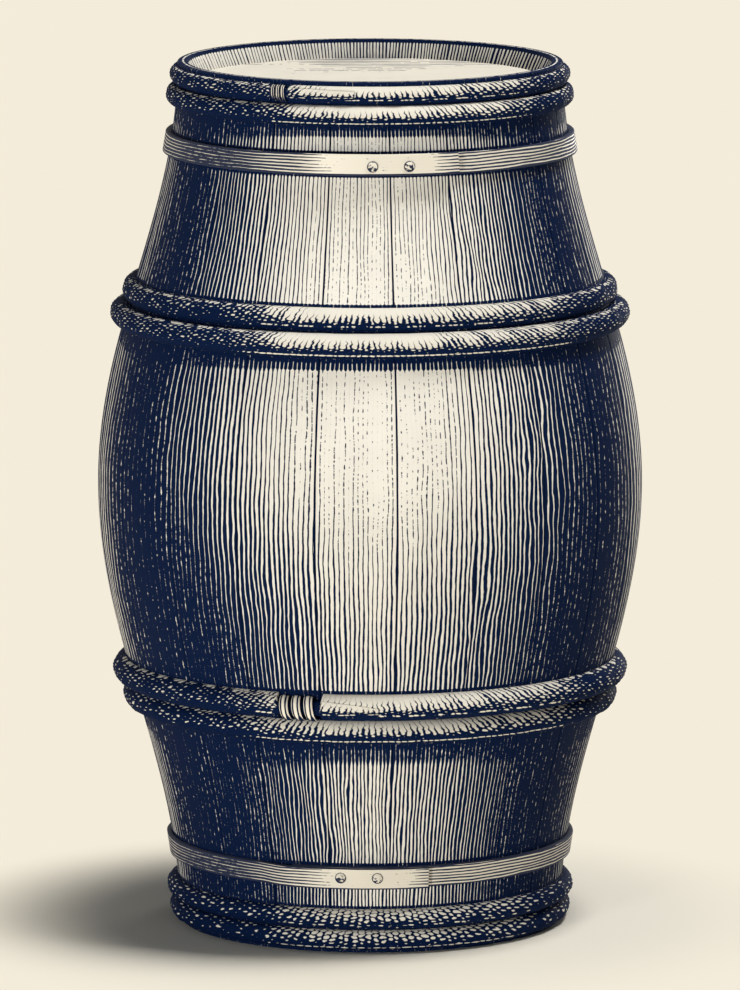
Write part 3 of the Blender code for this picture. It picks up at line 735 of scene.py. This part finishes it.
planed_oak, tree = new_material("planed_oak")  # smoother and paler than the staves, with thin grain
place = add(tree, "TexCoord", out="Object")
across = add(tree, "SeparateXYZ", [place], out="Y")
along = across.node.outputs["X"]
lanes = add(tree, "Math", [across, 1 / (13 * MM)], operation="MULTIPLY")
back = add(tree, "MapRange", {"Value": across, "From Min": 0.0, "From Max": 0.15,
                              "To Min": -0.12, "To Max": 0.34})  # more lines towards the back
patch = add(tree, "TexNoise", {"Vector": place, "Scale": 7.0}, out="Fac")  # patches about 140 mm wide
patch = add(tree, "MapRange", {"Value": patch, "From Min": 0.4, "From Max": 0.6,
                               "To Min": -0.16, "To Max": 0.06})
tone = add(tree, "Math", [back, patch], operation="ADD")
board = add(tree, "Math", [across, 1 / BOARD_PITCH], operation="MULTIPLY")
board = add(tree, "Math", [board], operation="FLOOR")
wood_surface(tree, grain(tree, lanes, along, tone, board, 0.7, 26 * MM), "F5EDDC", 0.55, 0.15 * MM)

for end, outer_z, inward in (("top", HEIGHT - HEAD_RECESS, -1), ("bottom", HEAD_RECESS, 1)):
    neck = float(bow(outer_z)) - STAVE_THICKNESS
    levels = ((neck - EASED_EDGE * MM, 0, EASED_EDGE), (neck, EASED_EDGE, 0),
              (neck, TONGUE_TOP, 0), (neck + TONGUE_REACH, TONGUE_TOP, 0),
              (neck + TONGUE_REACH, TONGUE_BACK, 0), (neck, TONGUE_BACK, 0),
              (neck - BEVEL, HEAD_THICKNESS, 0))
    for number in range(BOARD_COUNT):
        low = (number - BOARD_COUNT / 2) * BOARD_PITCH + SEAT / 2
        rings = [board_ring(radius, low + inset * MM, low + BOARD_PITCH - SEAT - inset * MM,
                            outer_z + inward * depth * MM) for radius, depth, inset in levels]
        obj = skin(f"{end}_head_board_{number + 1}_oak", np.array(rings))
        finish_piece(obj, planed_oak, f"{end}_head_board_{number + 1}")
print(2 * BOARD_COUNT, "head boards")

# %% [markdown]
# ## Wooden hoops: the scarfed lap
# A wooden hoop is a sapling of chestnut split down the middle: flat inside, round outside, still in
# its bark. Its two ends are cut to long wedges that lie one over the other, and the hoop is notched
# there for the lashing. A torus would be round all over and endless. Here the D-shaped section is
# worked out for each azimuth, from the floor under it, the ceiling over it and its width, which all
# change through the lap.

# %% The scarfed lap
HOOP_TIP = 1.5 * MM
HOOP_LAP = 150 * MM
SCARF_GAP = 0.4 * MM
OSIER_SHARE = 0.33
OSIER_PITCH_SHARE = 2.2
OSIER_TURNS = 3
ROW_STEP = 2.1 * MM


def trapezium(x, low, high, ramp):
    """1 between low and high, falling to 0 in a straight ramp on each side."""
    return np.clip(np.minimum(x - low, high - x) / ramp + 1, 0, 1)


def scarfed_lap(hoop, radius):
    """A hoop's rows by azimuth, and for each row how far it is notched, half its width, the height of
    its flat back over the staves, and the ceiling over its round side. In the lap one wedge rises
    evenly as the other sinks, with a thin gap between them."""
    _, width, thickness = measures(hoop)
    lap, ramp, butt, turn = HOOP_LAP / radius, 2 * MM / radius, SEAT / radius, 2 * np.pi
    osier = OSIER_SHARE * thickness
    notch = (OSIER_TURNS * OSIER_PITCH_SHARE + 1) * osier / 2 / radius
    ends = np.array([-notch - ramp, -notch, notch, notch + ramp]) + lap / 2
    marks = [butt, *ends, lap, lap + ramp, turn - ramp, turn, *(turn + ends), turn + lap - butt]
    even = np.arange(butt, turn + lap - butt, ROW_STEP / radius)
    local = np.unique(np.concatenate([marks, even]))[:, None]
    inside_lap = np.where(local > turn / 2, local - turn, local)
    waist = trapezium(inside_lap, lap / 2 - notch, lap / 2 + notch, ramp)
    floor = waist * (osier + SEAT)
    slope = np.clip(inside_lap / lap, 0, 1)
    scarf = floor + HOOP_TIP + (thickness - floor - 2 * HOOP_TIP - SCARF_GAP) * slope
    covered = 1 - np.clip((local - lap) / ramp, 0, 1)
    covering = np.clip((local - turn + ramp) / ramp, 0, 1)
    free = 1.1 * thickness
    ceiling = np.where(local < lap + ramp, scarf * covered + free * (1 - covered), free)
    base = floor * (1 - covering) + (scarf + SCARF_GAP) * covering
    return np.radians(hoop[3]) - lap / 2 + local, waist, width / 2 - waist * osier, base, ceiling


for name in ("top_chime", "bottom_bilge"):
    hoop = WOODEN_HOOPS[name]
    rows = scarfed_lap(hoop, float(bow((hoop[0] + hoop[1] / 2) * MM)))[0]
    print(name, len(rows), "rows, over", round(float(np.degrees(np.ptp(rows)))), "degrees")

# %% [markdown]
# ## Bark's scales and shade
# Chestnut bark is cracked into small scales, so each point of the round side is lifted by a pattern of
# staggered pillows. A noise bump would have no rows of scales in it. Like the staves, the bark gets one
# number at each point for how dark it is, and it is mostly painted light: painted shade on the side that
# faces the floor and on the flanks, a thin pale line of painted reflected light below, and a painted
# highlight along the flanks' upper edge.

# %% Bark's scales and shade
SCALE_LENGTH = 6.0 * MM  # real ones are half as long, and too fine to show
SCALE_HEIGHT = 4.0 * MM
DASHED_LINE = ("top_chime", "top_quarter", "bottom_bilge", "bottom_head")  # hoops whose pale line of painted reflected light is broken


def pillows(u, v):
    """Staggered pillows, one to a cell of the (u, v) grid, with every other column moved by half: the
    product of two parabolas, 1 in a cell's middle and 0 round its edge."""
    column = np.floor(u)
    du = u - column - 0.5
    dv = (v + 0.5 * (column % 2)) % 1 - 0.5
    return (1 - 4 * du * du) * (1 - 4 * dv * dv)


def scaly(z):
    """How far the scales show even on pale bark: not at all at the top, and fully near the floor."""
    return 1 - step_up(0.12, 0.30, z)


def bark_painted_light(azimuth, facing, z, line_at, dashed):
    """Dark share on the bark, mostly painted light. facing is how far up the face looks, in degrees: below
    level it is in painted shade, but for one thin pale line of painted reflected light at line_at. The
    flanks are in painted shade all over, but for small scales and, up high, a painted highlight along the
    upper edge. The right side darkens later than the left, and a narrow band of painted shade ends each
    side."""
    folded = fold(azimuth)
    # Painted shade on the flanks, which the right side takes on later than the left.
    right = 0.5 * step_up(8, 34, folded) + 0.5 * step_up(42, 58, folded)
    flank = np.where(folded < 0, step_up(9, 36, -folded), right)
    # Painted shade on the side that faces the floor.
    under = 1 - step_up(-22, 8, facing)
    front = 0.40 * (1 - step_up(6, 44, facing)) + 0.70 * under
    front = 1 - (1 - front) * (1 - 0.30 * scaly(z) * (1 - step_up(50, 80, facing)))
    dark = front + np.maximum(0, 0.955 + 0.17 * (1 - step_up(-36, -6, facing)) - front) * flank
    gaps = step_up(-0.4, 0.2, np.sin(azimuth * 43) + np.sin(azimuth * 71 + 1) + np.sin(azimuth * 113 + 2))
    # A thin pale line of painted reflected light on the underside.
    worn = 0.9 * trapezium(facing, line_at - 2.4, line_at + 2.4, 2) * (1 - step_up(0.6, 1, flank))
    worn = worn * gaps if dashed else worn
    # A broken painted highlight along the upper edge on the flanks.
    worn = worn + 0.7 * trapezium(facing, 60, 74, 4) * gaps * flank * (1 - scaly(z))
    # A narrow band of painted shade ends each side.
    return np.maximum(dark * (1 - worn), 1.2 * step_up(84, 87, np.abs(folded)))


facings = np.array([-60, -20, 20, 60])
print("bark at the front, facing", facings, "degrees:", bark_painted_light(0, facings, 0.6, -41, False).round(2))

# %% [markdown]
# ## Chestnut bark
# The cracks between scales hold the dark, so the material draws them on the map that the pillows use. A
# stock cell texture would crack every way at once. The cracks widen with the bark's dark share, so its
# painted shade shows as wider cracks. From the dark side the cracks reach up as slanted teeth, and on the
# flanks and near the floor they close round the scales and leave small pale ovals.

# %% Chestnut bark
chestnut_bark, tree = new_material("chestnut_bark")  # nearly black cracks between small pale scales
uv = add(tree, "UVMap", uv_map="surface")
tone = add(tree, "Attribute", out="Fac", attribute_name="dark_share")
warp = add(tree, "TexNoise", {"Vector": uv, "Scale": 0.7, "Detail": 2.0}, out="Color")
warp = add(tree, "VectorMath", [warp, (0.5, 0.5, 0.5)], operation="SUBTRACT")
warp = add(tree, "VectorMath", [warp, (1.3, 1.4, 0.0)], operation="MULTIPLY")  # scales stray by up to half
warp = add(tree, "VectorMath", [uv, warp], operation="ADD")
u = add(tree, "SeparateXYZ", [warp], out="X")
v = u.node.outputs["Y"]
column = add(tree, "Math", [u], operation="FLOOR")
odd = add(tree, "Math", [column, 2.0], operation="FLOORED_MODULO")
v = add(tree, "Math", [odd, 0.5, v], operation="MULTIPLY_ADD")
row = add(tree, "Math", [v], operation="FLOOR")
du = add(tree, "Math", [u, 0.5], operation="PINGPONG")
du = add(tree, "Math", [du, -2.0, 1.0], operation="MULTIPLY_ADD")  # 0 in a column's middle, 1 at its edges
dv = add(tree, "Math", [v, 0.5], operation="PINGPONG")
dv = add(tree, "Math", [dv, -2.0, 1.0], operation="MULTIPLY_ADD")
scaled = add(tree, "Attribute", out="Fac", attribute_name="scaly")
cells = add(tree, "MapRange", {"Value": tone, "From Min": 0.50, "From Max": 0.70})
cells = add(tree, "Math", [cells, scaled], operation="MAXIMUM")  # 0 for slanted teeth and 1 for scales
spread = add(tree, "Math", [1.0, tone], operation="SUBTRACT")
spread = add(tree, "Math", [spread, tone], operation="MULTIPLY")
even = add(tree, "Math", [cells, -2.2, 2.6], operation="MULTIPLY_ADD")
spread = add(tree, "Math", [spread, even], operation="MULTIPLY")  # how much columns differ
strength = add(tree, "TexWhiteNoise", {"W": column}, out="Value", noise_dimensions="1D")
strength = add(tree, "Math", [strength, 0.5], operation="SUBTRACT")
share = add(tree, "Math", [strength, spread, tone], operation="MULTIPLY_ADD")
chance = add(tree, "CombineXYZ", [column, row])
chance = add(tree, "TexWhiteNoise", {"Vector": chance}, out="Value", noise_dimensions="2D")
chance = add(tree, "Math", [chance, 0.5], operation="SUBTRACT")
chance = add(tree, "Math", [chance, cells], operation="MULTIPLY")
share = add(tree, "Math", [chance, 0.22, share], operation="MULTIPLY_ADD")
left = add(tree, "Math", [1.04, share], operation="SUBTRACT")  # the pale part's width
root = add(tree, "Math", [left, 0.0], operation="MAXIMUM")
root = add(tree, "Math", [root, 0.5], operation="POWER")
oval = add(tree, "Mix", {"Factor": cells, 2: left, 3: root}, data_type="FLOAT")
reach = add(tree, "Math", [dv, cells], operation="MULTIPLY")
reach = add(tree, "CombineXYZ", [du, reach])
reach = add(tree, "VectorMath", [reach], out="Value", operation="LENGTH")
cracks = add(tree, "Math", [reach, oval], operation="SUBTRACT")
cracks = add(tree, "MapRange", {"Value": cracks, "From Min": -0.07, "From Max": 0.07})
wood_surface(tree, cracks, "E9E3D5", 0.8, 0.5 * MM)
print("bark scales", SCALE_LENGTH / MM, "by", SCALE_HEIGHT / MM, "mm")

# %% [markdown]
# ## Wooden hoops
# The lap and the bark meet here. A curve with a bevel would keep one section all the way round, so
# the rows are worked out one by one. The section's round side is half an ellipse, as wide as the hoop
# and as high as its thickness, lifted by the scales and by a few slow waves where the sapling had
# knots, and kept under the lap's ceiling. The map counts scales along the hoop and across it, so the
# pillows and the cracks agree.

# %% Wooden hoops
def make_wooden_hoop(name, hoop):
    """One split sapling: rows round the cask by azimuth, and columns across the round face, from its
    lower edge to its upper one by an angle of 180 degrees, and back along the flat inside."""
    low, width, thickness = measures(hoop)
    middle = low + width / 2
    radius = float(bow(middle))
    azimuth, waist, half, base, ceiling = scarfed_lap(hoop, radius)
    lowest = base + HOOP_TIP / 2
    reach = np.sqrt(1 - np.minimum(lowest / thickness, 0.98) ** 2)
    tilt = math.degrees(math.atan2(bow(low) - bow(low + width), width))
    dashed = name in DASHED_LINE
    line_at = -28 if dashed else -41
    s = np.concatenate([np.linspace(0, 1, 27), (line_at + np.array([-5.5, -3, 3, 5.5]) - tilt + 90) / 180])
    s = np.unique(np.clip(s, 0, 1))
    share = -reach * np.cos(np.pi * s)
    crown = (thickness - 0.3 * MM) * np.sqrt(np.maximum(0, 1 - share ** 2))
    grow = 1 + 0.30 * float(scaly(middle))
    rows = max(5, round(float(1.25 * (width + thickness)) / SCALE_HEIGHT / grow))
    length = SCALE_LENGTH * grow * (1 + 0.4 * np.sin(azimuth) ** 2)
    run = np.diff(azimuth, axis=0, prepend=azimuth[:1]) * radius / length
    slant = -0.75 * np.sin(2 * azimuth) * SCALE_HEIGHT / SCALE_LENGTH
    u, v = np.broadcast_arrays(np.cumsum(run, axis=0) - slant * s * rows, s * rows)
    rough = 0.35 + 0.45 * painted_flank_shade(azimuth)
    lift = (pillows(u, v) - 0.4) * rough * 0.9 * MM * (1 - waist) * np.sin(np.pi * s) ** 0.5
    knots = 0.5 * MM * np.sin(37 * azimuth + hoop[0]) * np.sin(11 * azimuth) * (1 - waist)
    out = np.minimum(np.maximum(crown + lift + knots, lowest), ceiling)
    across = np.concatenate([share * half, np.linspace(1, -1, 5) * reach * half], 1)
    out = np.concatenate([out, np.repeat(base, 5, 1)], 1)
    # Painted light on the round face, and painted shade in the notch under the lashing.
    dark = np.maximum(bark_painted_light(azimuth, 180 * s - 90 + tilt, middle, line_at, dashed), 1.2 * waist)
    # Painted shade on the flat inside, against the staves.
    dark = np.concatenate([dark, np.full((len(azimuth), 5), 0.9)], 1)
    zero = np.zeros((len(azimuth), 5))
    uv = np.stack([np.concatenate([u, zero + u[:, :1]], 1), np.concatenate([v, zero], 1)], -1)
    obj = skin(name + "_bark", hoop_point(hoop, azimuth, across, SEAT + out), uv, dark_share=dark,
               scaly=np.full(dark.shape, float(scaly(middle))))
    return finish_piece(obj, chestnut_bark, name + "_hoop", sharp=50)


for name, hoop in WOODEN_HOOPS.items():
    obj = make_wooden_hoop(name, hoop)
    print(obj.name, len(obj.data.polygons), "faces")

# %% [markdown]
# ## Osier lashings
# Each lap is bound with three turns of peeled willow, which sit in the hoop's notch. The willow is
# split and springy, so it lies flatter than it is wide. A plain helix would stand off the hoop's flat
# back, so the path is half an ellipse over the hoop and a straight run under it, and it moves along the
# hoop by one pitch a turn. A flattened ring is carried along it, held by the hoop's direction so that
# it can't twist.

# %% Osier lashings
TURN_STEPS = 48
UNDER_SHARE = 0.2  # of each turn, on either side of the middle of the straight run


def make_lashing(name, hoop):
    """A flattened tube wound round a hoop's waist: an ellipse over it, a chord under it, one pitch a turn
    along it. The ring's frame is the path's direction and the hoop's direction, squared up. It carries
    painted shade where its turns meet, where it runs down behind the hoop and on the cask's flanks."""
    low, width, thickness = measures(hoop)
    radius = float(bow(low + width / 2))
    osier = OSIER_SHARE * thickness
    wide, thin = 0.88 * osier, 0.43 * osier
    side, top, under = width / 2 - osier + thin + SEAT, thickness + thin + 0.2 * MM, osier / 2
    t = np.linspace(0, OSIER_TURNS, OSIER_TURNS * TURN_STEPS + 1)
    phase = t % 1
    over = np.clip((phase - UNDER_SHARE) / (1 - 2 * UNDER_SHARE), 0, 1) * np.pi
    flat = np.where(phase < 0.5, phase, phase - 1) / UNDER_SHARE
    across = np.where(np.abs(flat) < 1, side * flat, side * np.cos(over))
    out = np.where(np.abs(flat) < 1, under, under + (top - under) * np.sin(over) ** 0.8)
    along = (t / OSIER_TURNS - 0.5) * OSIER_TURNS * OSIER_PITCH_SHARE * osier
    azimuth = np.radians(hoop[3]) + along / radius
    path = hoop_point(hoop, azimuth, across, SEAT + out)
    for _ in range(3):
        path[1:-1] = (path[:-2] + 2 * path[1:-1] + path[2:]) / 4
    ahead = np.gradient(path, axis=0)
    ahead /= np.linalg.norm(ahead, axis=1, keepdims=True)
    hoopwise = np.stack([np.cos(azimuth), np.sin(azimuth), 0 * azimuth], 1)
    hoopwise -= ahead * np.sum(hoopwise * ahead, 1, keepdims=True)
    hoopwise /= np.linalg.norm(hoopwise, axis=1, keepdims=True)
    up = np.cross(ahead, hoopwise)
    turn = np.linspace(0, 2 * np.pi, 14, endpoint=False)
    taper = np.clip(np.minimum(t, OSIER_TURNS - t) / 0.06, 0.35, 1)[:, None, None]
    rings = path[:, None] + taper * (wide * np.cos(turn)[None, :, None] * hoopwise[:, None]
                                     + thin * np.sin(turn)[None, :, None] * up[:, None])
    length = np.concatenate([[0], np.cumsum(np.linalg.norm(np.diff(path, axis=0), axis=1))])
    uv = np.stack(np.broadcast_arrays(turn / 1.1, length[:, None]), -1)
    # Painted shade on one face of the tube, where its turns meet.
    dark = 0.30 + 0.70 * (1 - step_up(0.40, 0.88, (np.sin(turn)[None, :] + 1) / 2 + 0 * t[:, None]))
    # Painted shade where it runs down behind the hoop.
    dark = np.maximum(dark, 0.85 * step_up(0.46, 0.72, over / np.pi)[:, None])
    # Painted shade on the cask's flanks.
    dark = 1 - (1 - dark) * (1 - 0.75 * step_up(0.15, 0.6, painted_flank_shade(azimuth)))[:, None]
    obj = skin(name + "_osier", rings, uv, dark_share=dark)
    return finish_piece(obj, peeled_osier, name + "_lashing", sharp=60)


peeled_osier, tree = new_material("peeled_willow")  # creamy and silky, with fine strands along it
across, along, tone = own_map(tree)
wood_surface(tree, grain(tree, across, along, tone, 3.0, 0.3, 8 * MM), "F4EBD8", 0.5, 0.15 * MM)

for name, hoop in WOODEN_HOOPS.items():
    make_lashing(name, hoop)
print(len(WOODEN_HOOPS), "lashings")

# %% [markdown]
# ## Rolled iron
# The flat hoops are strap iron, and rolling draws fine scratches along the strap. A noise stretched one
# way would fade at its ends. The scratches are the same crisp lines as the oak's grain, closer together,
# on iron that is worn pale and only a little shiny between them.

# %% Rolled iron
SCRATCH_PITCH = 3.1 * MM  # real ones are far finer, and wouldn't show


def iron_surface(tree, dark, roughness, metallic, depth, sunk):
    """Pale worn iron with blue-black marks where dark is 1: scratches, which are sunk, or the rivets' raised
    marks of painted shade.
    """
    colour = add(tree, "Mix", {"Factor": dark, 6: linear(IRON), 7: linear(INK)}, out=2, data_type="RGBA")
    relief = add(tree, "Bump", {"Height": dark, "Strength": 0.3, "Distance": depth}, invert=sunk)
    shader = add(tree, "BsdfPrincipled", {"Base Color": colour, "Roughness": roughness,
                                          "Metallic": metallic, "Normal": relief})
    add(tree, "OutputMaterial", {"Surface": shader})


strap_iron, tree = new_material("rolled_strap_iron")  # pale and bright with fine scratches along it
along, across, tone = own_map(tree)
across = add(tree, "Math", [across, 1 / SCRATCH_PITCH], operation="MULTIPLY")
lines = grain(tree, across, along, tone, 5.0, 1.1, 16 * MM)
dull = add(tree, "MapRange", {"Value": lines, "To Min": 0.5, "To Max": 0.8})
bright = add(tree, "MapRange", {"Value": lines, "To Min": 0.12, "To Max": 0.05})
iron_surface(tree, lines, dull, bright, 0.15 * MM, True)
print("scratches", SCRATCH_PITCH / MM, "mm apart")

# %% [markdown]
# ## Iron hoops
# Each strap is riveted to a ring: the end steps out over the start and lies on it, and the hammer
# leaves it a little wavy. A closed ring would have no lap, so a rounded rectangle is carried round the
# cask by azimuth and on over its own start, with the step worked out from the place in the lap.

# %% Iron hoops
IRON_LAP = 130 * MM
IRON_JOGGLE = 45 * MM
IRON_EASING = 1.0 * MM


def make_iron_hoop(name, hoop):
    """A rounded rectangle carried once round the cask and on over its own start. Its distance from the
    staves grows by its thickness through the step. Its edges and its back are dark with painted shade, and
    its scratches carry painted shade: strongest on the left, weaker on the right and absent at the front,
    where the rivets are."""
    low, width, thickness = measures(hoop)
    radius = float(bow(low))
    lap, step, turn = IRON_LAP / radius, IRON_JOGGLE / radius, 2 * np.pi
    local = np.unique(np.concatenate([np.arange(0, turn + lap, 3 * MM / radius),
                                      [turn - step, turn - SEAT / radius, turn + lap]]))
    azimuth = math.radians(hoop[3]) - lap / 2 + local
    raised = step_up(turn - step, turn - SEAT / radius, local) * (thickness + SEAT)
    corner = np.radians([0, 30, 60, 90])
    wide, high = width / 2 - IRON_EASING, thickness / 2 - IRON_EASING
    across, out = [], []
    for sx, sy, first in ((1, 1, 0), (-1, 1, 90), (-1, -1, 180), (1, -1, 270)):
        angle = corner + math.radians(first)
        across.append(sx * wide + IRON_EASING * np.cos(angle))
        out.append(thickness / 2 + sy * high + IRON_EASING * np.sin(angle))
        if first == 0:
            across.append(np.array([0.93, 0.6, 0.2, -0.2, -0.6, -0.84, -0.93]) * wide)
            out.append(np.full(7, thickness))
    across, out = np.concatenate(across), np.concatenate(out)
    hammered = 0.2 * MM * np.sin(23 * azimuth + hoop[0]) * np.sin(9 * azimuth)
    away = SEAT + raised[:, None] + out + hammered[:, None] * (out > thickness / 2)
    rings = hoop_point(hoop, azimuth[:, None], across[None, :], away)
    uv = np.stack(np.broadcast_arrays(azimuth[:, None] * radius, across[None, :]), -1)
    # The scratches carry painted shade: none at the front, more towards the flanks, the left more than the
    # right.
    folded = fold(azimuth)[:, None]
    left = 0.45 * step_up(6, 26, -folded) + 0.33 * step_up(24, 44, -folded)
    left = left - 0.16 * step_up(58, 76, -folded)
    right = (0.34 + 0.22 * step_up(30, 75, folded)) * step_up(4, 20, folded)
    right = right * np.where(local < turn - step, 1, step_up(turn + 0.72 * lap, turn + lap, local))[:, None]
    lines = np.where(folded < 0, left, right) + 0.08
    # Painted shade on the edges and the back, and along the lower edge of the face.
    dark = np.where(out[None, :] < thickness - 0.4 * MM, 1.3, lines)
    dark = np.where(across[None, :] < -width / 2 + 1.6 * MM, 1.3, dark)
    obj = skin(name + "_strap", rings, uv, dark_share=dark)
    return finish_piece(obj, strap_iron, name + "_hoop")


for name, hoop in IRON_HOOPS.items():
    obj = make_iron_hoop(name, hoop)
    print(obj.name, len(obj.data.polygons), "faces")

# %% [markdown]
# ## Rivets
# Two rivets close each strap. Their heads are hammered into low domes, with painted shade on their lower
# half and round their foot.
# Flattened balls would have no shank to reach down through both layers, so each rivet is a profile,
# shank and dome, turned round an axis that points straight out of the cask.

# %% Rivets
RIVET_SPACING = 34 * MM
RIVET_RADIUS = 5.5 * MM
RIVET_HEIGHT = 3 * MM
SHANK_RADIUS = 3.5 * MM

rivet_metal, tree = new_material("forged_rivet_iron")  # blue-black painted shade low down, pale on top
place = add(tree, "TexCoord", out="Object")
worn = add(tree, "TexNoise", {"Vector": place, "Scale": 380.0, "Detail": 3.0}, out="Fac")  # 2.6 mm spots
tone = add(tree, "Attribute", out="Fac", attribute_name="dark_share")
# The marks are a halftone of the painted shade against the noise.
scale = add(tree, "Math", [tone, worn], operation="SUBTRACT")
scale = add(tree, "MapRange", {"Value": scale, "From Min": -0.04, "From Max": 0.04})
iron_surface(tree, scale, 0.75, 0.1, 0.2 * MM, False)

for name, hoop in IRON_HOOPS.items():
    low, width, thickness = measures(hoop)
    half = RIVET_SPACING / 2 / float(bow(low))
    middle = low + width / 2
    for number, azimuth in enumerate((math.radians(hoop[3]) - half, math.radians(hoop[3]) + half), 1):
        under = 2 * thickness + 3 * SEAT
        dome = np.radians([0, 18, 36, 54, 72, 86])
        profile = [(SHANK_RADIUS, SEAT), (SHANK_RADIUS, under)]
        profile += [(RIVET_RADIUS * math.cos(a), under + RIVET_HEIGHT * math.sin(a)) for a in dome]
        rings = lathe(profile, (azimuth, float(bow(middle)), middle), 28)
        above = (rings[..., 2] - middle) / RIVET_RADIUS
        # Painted shade: darker on the lower half of the head and black round its foot.
        rivet_painted_shade = 0.47 - 0.20 * above + 0.4 * (np.arange(len(rings))[:, None] < 4)  # black round the foot
        obj = skin(f"{name}_rivet_{number}_head", rings, dark_share=rivet_painted_shade)
        finish_piece(obj, rivet_metal, f"{name}_rivet_{number}", sharp=50)
print(2 * len(IRON_HOOPS), "rivets with heads", 2 * RIVET_RADIUS / MM, "mm across")

# %% [markdown]
# ## Bung
# The bung is a tapered plug of poplar, softer than oak so that it seals, with its eased end standing a
# little proud at the back. A plain cylinder would bind or rattle in the tapered hole. Its profile is
# turned round the hole's own axis and uses the hole's cone, so the two agree.

# %% Bung
BUNG_INNER, BUNG_OUTER = -26 * MM, 8 * MM
BUNG_EASING = 2 * MM
GROWTH_CENTRE = (0.006, 0, -0.43)  # moves the pattern's middle to 6 mm beside the plug's axis, 10 mm down
GROWTH_PITCH = 3.8 * MM

poplar, tree = new_material("turned_poplar")  # pale and plain, with growth rings on the plug's face
place = add(tree, "TexCoord", out="Object")
across = add(tree, "Mapping", {"Vector": place, "Location": GROWTH_CENTRE, "Scale": (1, 0, 1)})
rings = add(tree, "VectorMath", [across], out="Value", operation="LENGTH")
rings = add(tree, "Math", [rings, 1 / GROWTH_PITCH], operation="MULTIPLY")
wood_surface(tree, grain(tree, rings, add(tree, "SeparateXYZ", [place], out="X"), 0.25, 2.0, 0.8, 14 * MM),
             "EFE5CF", 0.6, 0.2 * MM)

inner, outer = cone_radius(BUNG_INNER), cone_radius(BUNG_OUTER)
profile = [(inner - BUNG_EASING, BUNG_INNER), (inner, BUNG_INNER + BUNG_EASING)]
for a in np.radians([0, 30, 60, 90]):
    profile.append((outer - BUNG_EASING * (1 - math.cos(a)), BUNG_OUTER - BUNG_EASING * (1 - math.sin(a))))
bung = skin("bung_plug", lathe(profile, bilge, 72))
finish_piece(bung, poplar, "bung", body="bung")
print("bung from", round(2 * outer / MM, 1), "mm down to", round(2 * inner / MM, 1), "mm across")

# %% [markdown]
# ## Hidden dowels
# The dowels inside the heads never show. They keep their measured shape and get the bung's plain pale wood.

# %% Finish
for name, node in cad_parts.items():
    if "dowel" in name:
        node.data.materials.clear()
        node.data.materials.append(poplar)
